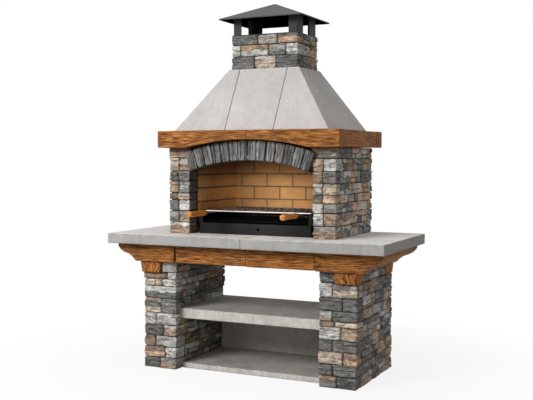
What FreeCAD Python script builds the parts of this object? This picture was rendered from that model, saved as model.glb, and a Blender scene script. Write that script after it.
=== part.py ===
"""Masonry barbecue with stone-clad legs and cheeks, timber beams, a firebrick hearth, a hood and a chimney.

Millimetres. X runs to the right, Y to the back and Z up. The origin is on the ground, midway between
the legs and midway between the worktop's front edge and the mantel's back.
"""
import FreeCAD, Part
import math
import os
import random
import re
import Sketcher

# Driving dimensions. Each setback is measured from the worktop's front edge.
SIZES = {
    "leg_gap": 986,
    "leg_width": 246,
    "leg_depth": 678,
    "leg_height": 698,
    "leg_setback": 114,
    "stone_depth": 30,
    "stone_joint": 5,
    "leg_stone_length": 200,
    "cheek_stone_length": 160,
    "stack_stone_length": 115,
    "end_stone_length": 120,
    "stone_least": 14,
    "slab_thickness": 36,
    "slab_setback": 192,
    "slab_joint": 1,
    "shelf_height": 394,
    "shelf_thickness": 65,
    "shelf_setback": 177,
    "rear_panel_setback": 720,
    "rear_panel_thickness": 60,
    "beam_gap": 964,
    "beam_height": 117,
    "beam_depth": 696,
    "beam_setback": 74,
    "corbel_foot": 40,
    "corbel_nose": 175,
    "nose_lip": 22,
    "ogee_turn_in": 77,
    "ogee_turn_down": 48,
    "cove_radius": 160,
    "nose_radius": 110,
    "fascia_thickness": 60,
    "seam_offset": 28,
    "block_width": 150,
    "block_height": 72,
    "block_side": 11,
    "block_front": 24,
    "front_block_depth": 133,
    "rear_block_depth": 159,
    "rear_block_inset": 0,
    "worktop_width": 1880,
    "worktop_depth": 840,
    "worktop_thickness": 65,
    "cheek_gap": 852,
    "cheek_width": 155,
    "cheek_height": 551,
    "cheek_setback": 179,
    "hearth_thickness": 22,
    "lining_setback": 290,
    "lining_step": 16,
    "brick_thickness": 22,
    "brick_length": 195,
    "brick_courses": 6,
    "mortar_joint": 9,
    "mortar_recess": 2,
    "rear_wall_thickness": 22,
    "arch_span": 820,
    "arch_rise": 69,
    "arch_drop": 148,
    "ring_depth": 127,
    "ring_projection": 29,
    "voussoirs": 14,
    "voussoir_joint": 4,
    "lintel_depth": 100,
    "lintel_joint": 2,
    "lintel_bearing": 44,
    "tenon_height": 117,
    "mantel_width": 1250,
    "mantel_depth": 790,
    "mantel_height": 111,
    "mantel_setback": 110,
    "mantel_beam": 110,
    "mantel_side": 155,
    "mantel_back_beam": 104,
    "mantel_seam_offset": 12,
    "mantel_cut_half": 417,
    "mantel_cut_rise": 49,
    "hood_width": 1064,
    "hood_depth": 691,
    "hood_inset": 62,
    "hood_height": 398,
    "hood_wall": 45,
    "hood_seam": 168,
    "hood_margin": 10,
    "stack_width": 474,
    "stack_depth": 333,
    "stack_setback": 396,
    "stack_height": 217,
    "flue_wall": 38,
    "cap_base_inset": 5,
    "cap_base_thickness": 4,
    "cap_width": 582,
    "cap_depth": 467,
    "cap_clearance": 98,
    "cap_rim": 8,
    "cap_rise": 110,
    "cap_top": 4,
    "cap_sheet": 3,
    "post_width": 55,
    "post_depth": 105,
    "post_wall": 3,
    "post_inset_side": 15,
    "post_inset_front": 10,
    "screw_diameter": 8,
    "screw_length": 34,
    "screw_head": 14,
    "screw_head_height": 5,
    "firebox_setback": 250,
    "firebox_width": 792,
    "firebox_plate": 3,
    "firebox_back_gap": 16,
    "flange_width": 26,
    "rail_height": 138,
    "ledge_height": 76,
    "ledge_width": 20,
    "tie_height": 20,
    "drawer_width": 780,
    "drawer_height": 70,
    "drawer_lift": 1,
    "drawer_sheet": 2,
    "tray_width": 720,
    "tray_height": 42,
    "tray_length": 500,
    "finger_hole": 20,
    "running_gap": 0.3,
    "coal_bar": 10,
    "coal_pitch": 34,
    "coal_tie": 8,
    "coal_tie_width": 20,
    "coal_tie_inset": 150,
    "grate_rear_gap": 26,
    "grate_width": 786,
    "grate_depth": 486,
    "grate_bar": 12,
    "grate_corner": 22,
    "grate_rod": 6,
    "grate_pitch": 20,
    "grip_spacing": 629,
    "grip_offset": 22,
    "grip_length": 205,
    "grip_front": 38,
    "grip_rear": 33,
    "grip_round": 5,
    "grip_bore": 120,
    "shank": 10,
    "shank_reach": 144,
    "shank_drop": 4,
}

# Faces and levels that follow from the driving dimensions.
PLACES = {
    "front_edge": "-(mantel_setback + mantel_depth) / 2",
    "leg_in": "leg_gap / 2",
    "leg_out": "leg_in + leg_width",
    "leg_front": "front_edge + leg_setback",
    "leg_back": "leg_front + leg_depth",
    "slab_front": "front_edge + slab_setback",
    "shelf_front": "front_edge + shelf_setback",
    "shelf_bottom": "shelf_height - shelf_thickness",
    "rear_panel_front": "front_edge + rear_panel_setback",
    "block_in": "leg_out + block_side - block_width",
    "block_out": "leg_out + block_side",
    "block_bottom": "leg_height - block_height",
    "front_block_face": "leg_front - block_front",
    "rear_block_back": "leg_back - rear_block_inset",
    "beam_in": "beam_gap / 2",
    "beam_foot": "leg_out + corbel_foot",
    "beam_out": "leg_out + corbel_nose",
    "beam_front": "front_edge + beam_setback",
    "beam_top": "leg_height + beam_height",
    "worktop_top": "beam_top + worktop_thickness",
    "worktop_back": "front_edge + worktop_depth",
    "cheek_in": "cheek_gap / 2",
    "cheek_out": "cheek_in + cheek_width",
    "cheek_front": "front_edge + cheek_setback",
    "cheek_top": "worktop_top + cheek_height",
    "lining_front": "front_edge + lining_setback",
    "lining_face": "cheek_in - lining_step",
    "lining_rear": "lining_face + brick_thickness",
    "hearth_top": "worktop_top + hearth_thickness",
    "back_wall_rear": "worktop_back - rear_wall_thickness",
    "back_wall_face": "back_wall_rear - brick_thickness",
    "springing": "cheek_top - arch_drop",
    "arch_radius": "((arch_span / 2)^2 + arch_rise^2) / (2 * arch_rise)",
    "arch_centre": "springing + arch_rise - arch_radius",
    "ring_radius": "arch_radius + ring_depth",
    "lintel_half": "cheek_in - lintel_joint",
    "lintel_back": "cheek_front + lintel_depth",
    "tenon_end": "cheek_in + stone_depth + lintel_bearing",
    "mantel_out": "mantel_width / 2",
    "mantel_in": "mantel_out - mantel_side",
    "mantel_front": "front_edge + mantel_setback",
    "mantel_back": "mantel_front + mantel_depth",
    "mantel_top": "cheek_top + mantel_height",
    "mantel_cut_radius": "(mantel_cut_half^2 + mantel_cut_rise^2) / (2 * mantel_cut_rise)",
    "mantel_cut_centre": "cheek_top + mantel_cut_rise - mantel_cut_radius",
    "hood_out": "hood_width / 2",
    "hood_front": "mantel_front + hood_inset",
    "hood_back": "hood_front + hood_depth",
    "hood_top": "mantel_top + hood_height",
    "stack_out": "stack_width / 2",
    "stack_front": "front_edge + stack_setback",
    "stack_back": "stack_front + stack_depth",
    "stack_top": "hood_top + stack_height",
    "core_out": "stack_out - stone_depth",
    "core_front": "stack_front + stone_depth",
    "core_back": "stack_back - stone_depth",
    "flue_out": "core_out - flue_wall",
    "flue_front": "core_front + flue_wall",
    "flue_back": "core_back - flue_wall",
    "cap_floor": "stack_top + cap_base_thickness",
    "cap_middle": "(stack_front + stack_back) / 2",
    "eave": "stack_top + cap_clearance",
    "cap_shoulder": "eave + cap_rim",
    "cap_peak": "cap_shoulder + cap_rise",
    "firebox_front": "front_edge + firebox_setback",
    "firebox_in": "firebox_width / 2",
    "firebox_out": "firebox_in + firebox_plate",
    "firebox_back": "back_wall_face - firebox_back_gap",
    "rail_top": "worktop_top + rail_height",
    "ledge_top": "worktop_top + ledge_height",
    "drawer_bottom": "worktop_top + drawer_lift",
    "drawer_top": "drawer_bottom + drawer_height",
    "drawer_back": "firebox_front + drawer_sheet",
    "tray_bottom": "hearth_top + running_gap",
    "coal_level": "ledge_top + running_gap + coal_bar / 2",
    "grate_front": "back_wall_face - grate_rear_gap - grate_depth + grate_bar / 2",
    "grate_level": "rail_top + running_gap + grate_bar / 2",
}

# Stone courses from the top down: the height share of each course, then where its front joints fall.
LEFT_LEG_COURSES = [(71, [0.57]), (44, [0.72]), (46, [0.36, 0.56]), (76, []), (96, [0.53]), (76, [0.38]),
                    (69, [0.6]), (70, [0.36]), (70, [0.65]), (67, [0.5])]
RIGHT_LEG_COURSES = [(72, [0.42]), (86, [0.36]), (79, [0.62]), (64, [0.35]), (33, [0.42]), (77, [0.58]),
                     (70, [0.36]), (76, [0.63]), (70, [0.36]), (70, [0.47])]
LEFT_CHEEK_COURSES = [(65, []), (85, [0.48]), (65, [0.42]), (75, [0.47]), (45, [0.4]), (70, [0.46]),
                      (75, [0.48]), (70, [])]
RIGHT_CHEEK_COURSES = [(69, []), (78, [0.45]), (74, [0.42]), (69, [0.42]), (50, [0.42]), (59, [0.45]),
                       (78, [0.45]), (74, [])]
STACK_COURSES = [(65, [0.4, 0.69]), (74, [0.14, 0.56, 0.82]), (78, [0.35, 0.67])]

SIDES = {"left": -1, "right": 1}

doc = FreeCAD.newDocument("MasonryBarbecue")
sheet = doc.addObject("Spreadsheet::Sheet", "Size")


def fill_sheet():
    """Write the driving dimensions in one pair of columns and the derived places in the next."""
    for row, (name, size) in enumerate(SIZES.items(), start=1):
        sheet.set(f"A{row}", name)
        sheet.set(f"B{row}", str(size))
        sheet.setAlias(f"B{row}", name)
    doc.recompute()
    for row, (name, formula) in enumerate(PLACES.items(), start=1):
        sheet.set(f"D{row}", name)
        sheet.set(f"E{row}", "=" + formula)
        sheet.setAlias(f"E{row}", name)
        doc.recompute([sheet])


fill_sheet()


def value(name):
    """The sheet's number for one alias."""
    return float(sheet.get(name))


def bound(text):
    """Point every alias in an expression at the sheet."""
    known = SIZES.keys() | PLACES.keys()
    return re.sub(r"[a-z_]+", lambda word: "Size." + word[0] if word[0] in known else word[0], text)


def number(text):
    """The present value of an expression."""
    return float(sheet.evalExpression(bound(text)))


def bind(thing, name, text):
    thing.setExpression(name, bound(text))


def mirrored(side, near, far):
    """West and east limits of a piece that lies between two distances from the middle."""
    if side > 0:
        return near, far
    return f"- ( {far} )", f"- ( {near} )"


def block(label, x, y, z):
    """A rectangular block between three pairs of limits."""
    piece = doc.addObject("Part::Box", label)
    for limits, size, place in ((x, "Length", "x"), (y, "Width", "y"), (z, "Height", "z")):
        low, high = limits
        bind(piece, size, f"( {high} ) - ( {low} )")
        bind(piece, f".Placement.Base.{place}", low)
    return piece


def rod(label, diameter, length, start, rotation):
    """A round bar that starts at a point and runs along the turned Z axis."""
    piece = doc.addObject("Part::Cylinder", label)
    bind(piece, "Radius", f"( {diameter} ) / 2")
    bind(piece, "Height", length)
    piece.Placement.Rotation = rotation
    for place, text in zip("xyz", start):
        bind(piece, f".Placement.Base.{place}", text)
    return piece


def frustum(label, bottom, top, levels):
    """A solid with sloped sides between two rectangles, each (half width, front, back)."""
    piece = doc.addObject("Part::Wedge", label)
    piece.Placement.Rotation = TURN_UP
    for prefix, (half, front, back) in (("", bottom), ("2", top)):
        bind(piece, f"X{prefix}min", f"- ( {half} )")
        bind(piece, f"X{prefix}max", half)
        bind(piece, f"Z{prefix}min", f"- ( {back} )")
        bind(piece, f"Z{prefix}max", f"- ( {front} )")
    bind(piece, "Ymin", levels[0])
    bind(piece, "Ymax", levels[1])
    return piece


def cut(label, base, tool):
    piece = doc.addObject("Part::Cut", label)
    piece.Base = base
    piece.Tool = tool
    return piece


def common(label, base, tool):
    piece = doc.addObject("Part::Common", label)
    piece.Base = base
    piece.Tool = tool
    return piece


def fuse(label, pieces):
    piece = doc.addObject("Part::MultiFuse", label)
    piece.Shapes = pieces
    piece.Refine = True
    return piece


def group(label, solids):
    """Many separate solids of one kind, held together as one piece of the list."""
    piece = doc.addObject("Part::Feature", label)
    piece.Shape = Part.makeCompound(solids)
    piece.Placement = FreeCAD.Placement()
    return piece


TURN_UP = FreeCAD.Rotation(FreeCAD.Vector(1, 0, 0), 90)
TURN_BACK = FreeCAD.Rotation(FreeCAD.Vector(1, 0, 0), -90)
STRAIGHT = FreeCAD.Rotation()


def arc_middle(start, end, radius):
    """The point halfway along an arc, to the left of its chord when the radius is positive."""
    chord = end.sub(start)
    sagitta = abs(radius) - math.sqrt(radius ** 2 - (chord.Length / 2) ** 2)
    left = FreeCAD.Vector(-chord.y, chord.x, 0).normalize()
    return start.add(end).multiply(0.5).add(left.multiply(math.copysign(sagitta, radius)))


def outline(body, points):
    """A closed sketch in the body's XZ plane.

    Each point is (x, z) for a straight run from it to the next, or (x, z, radius) for an arc that
    bulges to the left of its run, or to the right when the radius has a minus sign.
    """
    plane = next(one for one in body.Origin.OriginFeatures if one.Role == "XZ_Plane")
    sketch = body.newObject("Sketcher::SketchObject", body.Name + "_outline")
    sketch.AttachmentSupport = (plane, [""])
    sketch.MapMode = "FlatFace"
    places = [FreeCAD.Vector(number(point[0]), number(point[1]), 0) for point in points]
    starts = []
    ends = []
    for index, point in enumerate(points):
        start = places[index]
        end = places[(index + 1) % len(points)]
        forward = len(point) == 2 or number(point[2]) < 0
        first, last = (start, end) if forward else (end, start)
        if len(point) == 2:
            edge = sketch.addGeometry(Part.LineSegment(first, last))
        else:
            middle = arc_middle(start, end, number(point[2]))
            edge = sketch.addGeometry(Part.ArcOfCircle(first, middle, last))
        starts.append((edge, 1 if forward else 2))
        ends.append((edge, 2 if forward else 1))
    for index, point in enumerate(points):
        sketch.addConstraint(Sketcher.Constraint("Coincident", *ends[index - 1], *starts[index]))
        for axis, text, size in zip(("DistanceX", "DistanceY"), point, places[index]):
            fixed = sketch.addConstraint(Sketcher.Constraint(axis, -1, 1, *starts[index], size))
            bind(sketch, f"Constraints[{fixed}]", text)
        if len(point) == 3:
            size = abs(number(point[2]))
            fixed = sketch.addConstraint(Sketcher.Constraint("Radius", starts[index][0], size))
            bind(sketch, f"Constraints[{fixed}]", point[2].lstrip("- "))
    return sketch


def profile_body(label, points, front, back):
    """A body whose XZ outline runs from its front to its back."""
    body = doc.addObject("PartDesign::Body", label)
    sketch = outline(body, points)
    pad = body.newObject("PartDesign::Pad", label + "_run")
    pad.Profile = sketch
    bind(pad, "Length", f"( {back} ) - ( {front} )")
    pad.Reversed = True
    body.Tip = pad
    bind(body, ".Placement.Base.y", front)
    return body


def overlaps(one, other):
    """Whether two boxes share more than a face."""
    return all(low < high_other and low_other < high
               for (low, high), (low_other, high_other) in zip(one, other))


def clear_of(stone, keepouts):
    """The largest box left of a stone when it is trimmed beside every keepout, or None if it is too small."""
    least = value("stone_least")
    for keepout in keepouts:
        if not overlaps(stone, keepout):
            continue
        rests = []
        for axis in range(3):
            low, high = stone[axis]
            for rest in ((low, keepout[axis][0]), (keepout[axis][1], high)):
                if rest[1] - rest[0] >= least:
                    rests.append(stone[:axis] + [rest] + stone[axis + 1:])
        if not rests:
            return None
        stone = max(rests, key=lambda box: math.prod(high - low for low, high in box))
    return stone


def solid_box(limits):
    (west, east), (front, back), (bottom, top) = limits
    return Part.makeBox(east - west, back - front, top - bottom, FreeCAD.Vector(west, front, bottom))


def random_cuts(chance, length, usual):
    """Shares where a run of wall is divided into stones of uneven length, about the usual one."""
    count = max(1, round(length / usual))
    widths = [chance.uniform(0.7, 1.3) for _ in range(count)]
    return [sum(widths[:index]) / sum(widths) for index in range(1, count)]


def run_of_stones(start, end, shares):
    """Intervals of the stones along one run, with a joint between neighbours."""
    joint = value("stone_joint")
    marks = [start] + [start + share * (end - start) for share in shares] + [end]
    last = len(marks) - 2
    return [(low + (joint / 2 if index else 0), high - (joint / 2 if index < last else 0))
            for index, (low, high) in enumerate(zip(marks, marks[1:]))]


def corner_reach(wall, front, height, length, end, keepouts):
    """How far back a corner stone turns along a side wall: to its own length, a keepout or the run's end."""
    reach = front + length
    if end - reach < value("stone_joint") + value("stone_least"):
        reach = end
    turn = [wall, (front + value("stone_depth"), reach), height]
    return min([reach] + [keepout[1][0] for keepout in keepouts if overlaps(turn, keepout)])


def clad(label, plan, levels, courses, side_ends, keepouts, usual, seed):
    """Stones around a rectangular core, laid course by course.

    plan is ((west, east), (front, back)) of the outer faces. The outer stones of each front course turn
    the corner. The side runs, of stones about the usual length, stop at side_ends, and the back run covers
    the rear corners when a side run reaches it. Stones are trimmed beside the keepouts.
    """
    chance = random.Random(seed)
    depth = value("stone_depth")
    joint = value("stone_joint")
    least = value("stone_least")
    (west, east), (front, back) = plan
    bottom, top = levels
    scale = (top - bottom) / sum(share for share, _ in courses)
    solids = []
    for share, front_joints in courses:
        course_bottom = top - share * scale
        height = (course_bottom + joint, top)
        if course_bottom - bottom < joint:
            height = (bottom, top)
        faces = run_of_stones(west, east, front_joints)
        lengths = [chance.uniform(0.35, 0.75) * usual + depth / 2 for _ in range(2)]
        walls = ((west, west + depth), (east - depth, east))
        turned = [front + depth, front + depth]
        for face in faces:
            stone = clear_of([face, (front, front + depth), height], keepouts)
            if stone is None:
                continue
            shape = solid_box(stone)
            for corner, wall in enumerate(walls):
                meets = overlaps([face, (0, 1), (0, 1)], [wall, (0, 1), (0, 1)])
                reach = corner_reach(wall, front, height, lengths[corner], side_ends[corner], keepouts)
                if meets and stone[0] == face and stone[2] == height and reach - front - depth >= least:
                    shape = shape.fuse(solid_box([wall, (front + depth, reach), height])).removeSplitter()
                    turned[corner] = reach
            solids.append(shape)
        for corner, wall in enumerate(walls):
            start = turned[corner] + joint
            end = side_ends[corner]
            if end - start < least:
                continue
            for piece in run_of_stones(start, end, random_cuts(chance, end - start, usual)):
                stone = clear_of([wall, piece, height], keepouts)
                if stone is not None:
                    solids.append(solid_box(stone))
        for piece in run_of_stones(west, east, random_cuts(chance, east - west, value("end_stone_length"))):
            stone = clear_of([piece, (back - depth, back), height], keepouts)
            if stone is not None:
                solids.append(solid_box(stone))
        top = course_bottom
    return group(label, solids)


def grown(limits, margin):
    return [(low - margin, high + margin) for low, high in limits]


def present(x, y, z):
    """Three pairs of expressions as numbers."""
    return [tuple(number(text) for text in pair) for pair in (x, y, z)]


def base():
    """Slab, shelf, rear panel, legs, corbels, fascia and worktop."""
    inner = "leg_in - slab_joint"
    bearing = "leg_in + stone_depth"
    pieces = [
        block("floor_slab", (f"- ( {inner} )", inner), ("slab_front", "leg_back"), ("0", "slab_thickness")),
        block("shelf_slab", (f"- ( {bearing} )", bearing), ("shelf_front", "leg_back"),
              ("shelf_bottom", "shelf_height")),
        block("rear_panel", (f"- ( {inner} )", inner),
              ("rear_panel_front", "rear_panel_front + rear_panel_thickness"),
              ("slab_thickness", "shelf_bottom")),
    ]
    for name, side in SIDES.items():
        pieces += leg(name, side)
        pieces += corbel(name, side)
    fascia = ("beam_front", "beam_front + fascia_thickness")
    pieces.append(block("fascia_left", ("- ( beam_in )", "seam_offset"), fascia, ("leg_height", "beam_top")))
    pieces.append(block("fascia_right", ("seam_offset", "beam_in"), fascia, ("leg_height", "beam_top")))
    half = "worktop_width / 2"
    plates = {"worktop_left": (f"- {half}", "seam_offset"), "worktop_right": ("seam_offset", half)}
    for name, x in plates.items():
        pieces.append(block(name, x, ("front_edge", "worktop_back"), ("beam_top", "worktop_top")))
    return pieces


def leg(name, side):
    """A concrete core with a stone veneer on four sides, notched for the shelf and the corbel blocks."""
    core = block(f"{name}_leg_core", mirrored(side, "leg_in + stone_depth", "leg_out - stone_depth"),
                 ("leg_front + stone_depth", "leg_back - stone_depth"), ("0", "leg_height"))
    joint = value("stone_joint")
    shelf = present(mirrored(side, "0", "leg_in + stone_depth"), ("shelf_front", "leg_back"),
                    ("shelf_bottom", "shelf_height"))
    shelf_slot = [shelf[0], (shelf[1][0] - joint, shelf[1][1] + joint), shelf[2]]
    blocks = [grown(limits, joint) for limits in corbel_blocks(side)]
    plan = present(mirrored(side, "leg_in", "leg_out"), ("leg_front", "leg_back"), ("0", "leg_height"))
    rear = value("leg_back") - value("stone_depth") - joint
    courses = LEFT_LEG_COURSES if side < 0 else RIGHT_LEG_COURSES
    stones = clad(f"{name}_leg_stones", plan[:2], plan[2], courses, (rear, rear),
                  [shelf_slot] + blocks, value("leg_stone_length"), 11 + side)
    return [core, stones]


def corbel_blocks(side):
    """Limits of the front and rear timber blocks on one leg."""
    runs = (("front_block_face", "front_block_face + front_block_depth"),
            ("rear_block_back - rear_block_depth", "rear_block_back"))
    height = ("block_bottom", "leg_height")
    return [present(mirrored(side, "block_in", "block_out"), run, height) for run in runs]


def corbel(name, side):
    """Two timber blocks set in the leg's top course, and the moulded beam that they carry."""
    core = solid_box(present(mirrored(side, "leg_in + stone_depth", "leg_out - stone_depth"),
                             ("leg_front + stone_depth", "leg_back - stone_depth"), ("0", "leg_height")))
    blocks = group(f"{name}_corbel_blocks", [solid_box(limits).cut(core) for limits in corbel_blocks(side)])
    cove, nose = ("cove_radius", "- nose_radius") if side > 0 else ("- cove_radius", "nose_radius")

    def at(text):
        return f"{side} * ( {text} )"

    points = [(at("beam_in"), "leg_height"), (at("beam_foot"), "leg_height", cove),
              (at("beam_out - ogee_turn_in"), "beam_top - nose_lip - ogee_turn_down", nose),
              (at("beam_out"), "beam_top - nose_lip"), (at("beam_out"), "beam_top"),
              (at("beam_in"), "beam_top")]
    beam = profile_body(f"{name}_corbel_beam", points, "beam_front", "beam_front + beam_depth")
    return [blocks, beam]


def bricks_between(start, end, offset):
    """Brick intervals along a wall, with joints on a pitch that starts at the offset."""
    pitch = value("brick_length")
    half = value("mortar_joint") / 2
    first = start + (offset - start) % pitch
    marks = [first + index * pitch for index in range(int((end - first) / pitch) + 1)]
    marks = [mark for mark in marks if start + pitch / 8 < mark < end - pitch / 8]
    lows = [start] + [mark + half for mark in marks]
    highs = [mark - half for mark in marks] + [end]
    return list(zip(lows, highs))


def brick_wall(name, run_axis, run, thickness, face_side, first_joint=None):
    """Firebricks and the mortar around them, recessed on the fire side.

    The bricks are in running bond from the first joint, or one tile to a course without it.
    """
    bottom = value("hearth_top")
    courses = int(value("brick_courses"))
    pitch = (value("cheek_top") - bottom) / courses
    bricks = []
    for course in range(courses):
        height = (bottom + course * pitch + value("mortar_joint"), bottom + (course + 1) * pitch)
        intervals = [run]
        if first_joint is not None:
            intervals = bricks_between(run[0], run[1], first_joint + (course % 2) * value("brick_length") / 2)
        for interval in intervals:
            limits = [interval, thickness] if run_axis == 0 else [thickness, interval]
            bricks.append(solid_box(limits + [height]))
    recess = value("mortar_recess")
    low, high = thickness
    bed = (low + recess, high) if face_side < 0 else (low, high - recess)
    limits = [run, bed] if run_axis == 0 else [bed, run]
    mortar = solid_box(limits + [(bottom, value("cheek_top"))]).cut(Part.makeCompound(bricks))
    return [group(f"{name}_firebricks", bricks), group(f"{name}_brick_mortar", mortar.Solids)]


def firebox_walls():
    """Cheeks, hearth, firebrick lining, rear wall and the arch over the opening."""
    pieces = [
        block("hearth_slab", ("- lining_rear", "lining_rear"), ("lining_front", "back_wall_rear"),
              ("worktop_top", "hearth_top")),
        block("rear_wall_panel", ("- lining_rear", "lining_rear"), ("back_wall_rear", "worktop_back"),
              ("worktop_top", "cheek_top")),
    ]
    tenons = {}
    for name, side in SIDES.items():
        core, tenons[name] = cheek_core(name, side)
        pieces += [core, cheek_stones(name, side)]
        thickness = present(mirrored(side, "lining_face", "lining_rear"), ("0", "1"), ("0", "1"))[0]
        run = (value("lining_front"), value("back_wall_face"))
        pieces += brick_wall(name, 1, run, thickness, -side)
    span = value("lining_rear")
    pieces += brick_wall("back", 0, (-span, span), (value("back_wall_face"), value("back_wall_rear")), -1,
                         -value("brick_length") * 3 / 8)
    pieces += arch(tenons)
    return pieces


def cheek_core(name, side):
    """A concrete cheek, stepped where the lining starts and cut for the lintel's tenon, and that tenon."""
    height = ("worktop_top", "cheek_top")
    bearing = ("cheek_front + stone_depth", "lintel_back")
    front_part = block(f"{name}_cheek_front",
                       mirrored(side, "cheek_in + stone_depth", "cheek_out - stone_depth"),
                       ("cheek_front + stone_depth", "lining_front"), height)
    rear_part = block(f"{name}_cheek_rear", mirrored(side, "lining_rear", "cheek_out - stone_depth"),
                      ("lining_front", "worktop_back - stone_depth"), height)
    seat = block(f"{name}_lintel_seat", mirrored(side, "cheek_in", "tenon_end"), bearing,
                 ("springing", "cheek_top"))
    core = cut(f"{name}_cheek_core", fuse(f"{name}_cheek_whole", [front_part, rear_part]), seat)
    tenon = block(f"{name}_tenon", mirrored(side, "lintel_half - lintel_joint", "tenon_end"), bearing,
                  ("springing", "springing + tenon_height"))
    return core, tenon


def cheek_stones(name, side):
    """Stones on a cheek's front, outside and back, turning in as far as the lining and the lintel's seat."""
    height = ("worktop_top", "cheek_top")
    plan = present(mirrored(side, "cheek_in", "cheek_out"), ("cheek_front", "worktop_back"), height)
    pocket = present(mirrored(side, "lining_face", "tenon_end"), ("cheek_front + stone_depth", "lintel_back"),
                     ("springing", "cheek_top"))
    wall = present(mirrored(side, "0", "lining_rear"), ("lining_front", "worktop_back"), height)
    joint = value("stone_joint")
    rear = value("worktop_back") - value("stone_depth") - joint
    inner = value("lining_front") - joint
    ends = (inner, rear) if side > 0 else (rear, inner)
    courses = LEFT_CHEEK_COURSES if side < 0 else RIGHT_CHEEK_COURSES
    return clad(f"{name}_cheek_stones", plan[:2], plan[2], courses, ends, [pocket, wall],
                value("cheek_stone_length"), 31 + side)


def arch(tenons):
    """A segmental concrete lintel whose tenons bear on the cheeks, faced with wedge-shaped stones."""
    rise_in = "( sqrt(arch_radius ^ 2 - lintel_half ^ 2 ) + arch_centre )"
    rise_out = "( sqrt(ring_radius ^ 2 - lintel_half ^ 2 ) + arch_centre )"
    points = [("- lintel_half", rise_in, "arch_radius"), ("lintel_half", rise_in),
              ("lintel_half", rise_out, "- ring_radius"), ("- lintel_half", rise_out)]
    ring = profile_body("lintel_ring", points, "cheek_front", "lintel_back")
    lintel = fuse("arch_lintel", [ring, tenons["left"], tenons["right"]])
    radii = (value("arch_radius"), value("ring_radius"))
    sweep = math.asin(value("arch_span") / 2 / radii[0])
    count = int(value("voussoirs"))
    step = 2 * sweep / count
    joint = value("voussoir_joint") / sum(radii)
    stones = []
    for index in range(count):
        start = -sweep + index * step + joint
        end = -sweep + (index + 1) * step - joint
        corners = [(radii[0], start), (radii[0], end), (radii[1], end), (radii[1], start)]
        points = [FreeCAD.Vector(radius * math.sin(angle), value("cheek_front"),
                                 value("arch_centre") + radius * math.cos(angle))
                  for radius, angle in corners]
        face = Part.Face(Part.makePolygon(points + points[:1]))
        stones.append(face.extrude(FreeCAD.Vector(0, -value("ring_projection"), 0)))
    return [lintel, group("arch_voussoirs", stones)]


def mantel():
    """A ring of timber beams on top of the cheeks, arched at the front."""
    rise = "( sqrt(mantel_cut_radius ^ 2 - mantel_seam_offset ^ 2 ) + mantel_cut_centre )"
    depth = ("mantel_front", "mantel_front + mantel_beam")
    height = ("cheek_top", "mantel_top")
    pieces = []
    for name, side, bend in (("left", "- ", ""), ("right", "", "- ")):
        points = [(f"{side}mantel_out", "cheek_top"),
                  (f"{side}mantel_cut_half", "cheek_top", f"{bend}mantel_cut_radius"),
                  ("mantel_seam_offset", rise), ("mantel_seam_offset", "mantel_top"),
                  (f"{side}mantel_out", "mantel_top")]
        pieces.append(profile_body(f"mantel_front_{name}", points, *depth))
    run = ("mantel_front + mantel_beam", "mantel_back - mantel_back_beam")
    for name, side in SIDES.items():
        pieces.append(block(f"mantel_{name}", mirrored(side, "mantel_in", "mantel_out"), run, height))
    pieces.append(block("mantel_back", ("- mantel_out", "mantel_out"),
                        ("mantel_back - mantel_back_beam", "mantel_back"), height))
    return pieces


def hood():
    """A tapered concrete smoke hood in four castings: two corner shells and two flat middle panels."""
    levels = ("mantel_top", "hood_top")
    foot = ("hood_out", "hood_front", "hood_back")
    head = ("stack_out + hood_margin", "stack_front - hood_margin", "stack_back + hood_margin")
    foot_inside = ("hood_out - hood_wall", "hood_front + hood_wall", "hood_back - hood_wall")
    outer = frustum("hood_outside", foot, head, levels)
    inner = frustum("hood_inside", foot_inside, ("flue_out", "flue_front", "flue_back"), levels)
    shell = cut("hood_shell", outer, inner)
    seam = "hood_seam"
    whole = ("hood_front", "hood_back")
    middle = "( flue_front + flue_back ) / 2"
    parts = {
        "hood_left": (("- hood_out", f"- {seam}"), whole),
        "hood_right": ((seam, "hood_out"), whole),
        "hood_front_panel": ((f"- {seam}", seam), ("hood_front", middle)),
        "hood_back_panel": ((f"- {seam}", seam), (middle, "hood_back")),
    }
    return [common(name, shell, block(name + "_zone", x, y, levels)) for name, (x, y) in parts.items()]


def chimney():
    """A flue tube with stone cladding, and a sheet cap on four posts."""
    levels = ("hood_top", "stack_top")
    tube = block("stack_tube", ("- core_out", "core_out"), ("core_front", "core_back"), levels)
    flue = block("stack_flue", ("- flue_out", "flue_out"), ("flue_front", "flue_back"), levels)
    plate = block("cap_plate", ("- stack_out + cap_base_inset", "stack_out - cap_base_inset"),
                  ("stack_front + cap_base_inset", "stack_back - cap_base_inset"), ("stack_top", "cap_floor"))
    opening = block("cap_opening", ("- flue_out", "flue_out"), ("flue_front", "flue_back"),
                    ("stack_top", "cap_floor"))
    shanks = []
    screws = []
    for index, (x, y) in enumerate(screw_places()):
        place = (x, y, "cap_floor - screw_length")
        shanks.append(rod(f"screw_hole_{index}", "screw_diameter", "screw_length", place, STRAIGHT))
        shank = rod(f"screw_shank_{index}", "screw_diameter", "screw_length", place, STRAIGHT)
        head = rod(f"screw_head_{index}", "screw_head", "screw_head_height", (x, y, "cap_floor"), STRAIGHT)
        screws.append(fuse(f"screw_{index}", [shank, head]))
    holes = fuse("screw_holes", shanks)
    core = cut("chimney_core", cut("stack_walls", tube, flue), holes)
    base_plate = cut("cap_base", cut("cap_ring", plate, opening), holes)
    doc.recompute()
    plan = present(("- stack_out", "stack_out"), ("stack_front", "stack_back"), levels)
    rear = value("stack_back") - value("stone_depth") - value("stone_joint")
    stones = clad("chimney_stones", plan[:2], plan[2], STACK_COURSES, (rear, rear), [],
                  value("stack_stone_length"), 53)
    return [core, stones, base_plate, group("cap_screws", [screw.Shape for screw in screws])] + cap()


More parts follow.
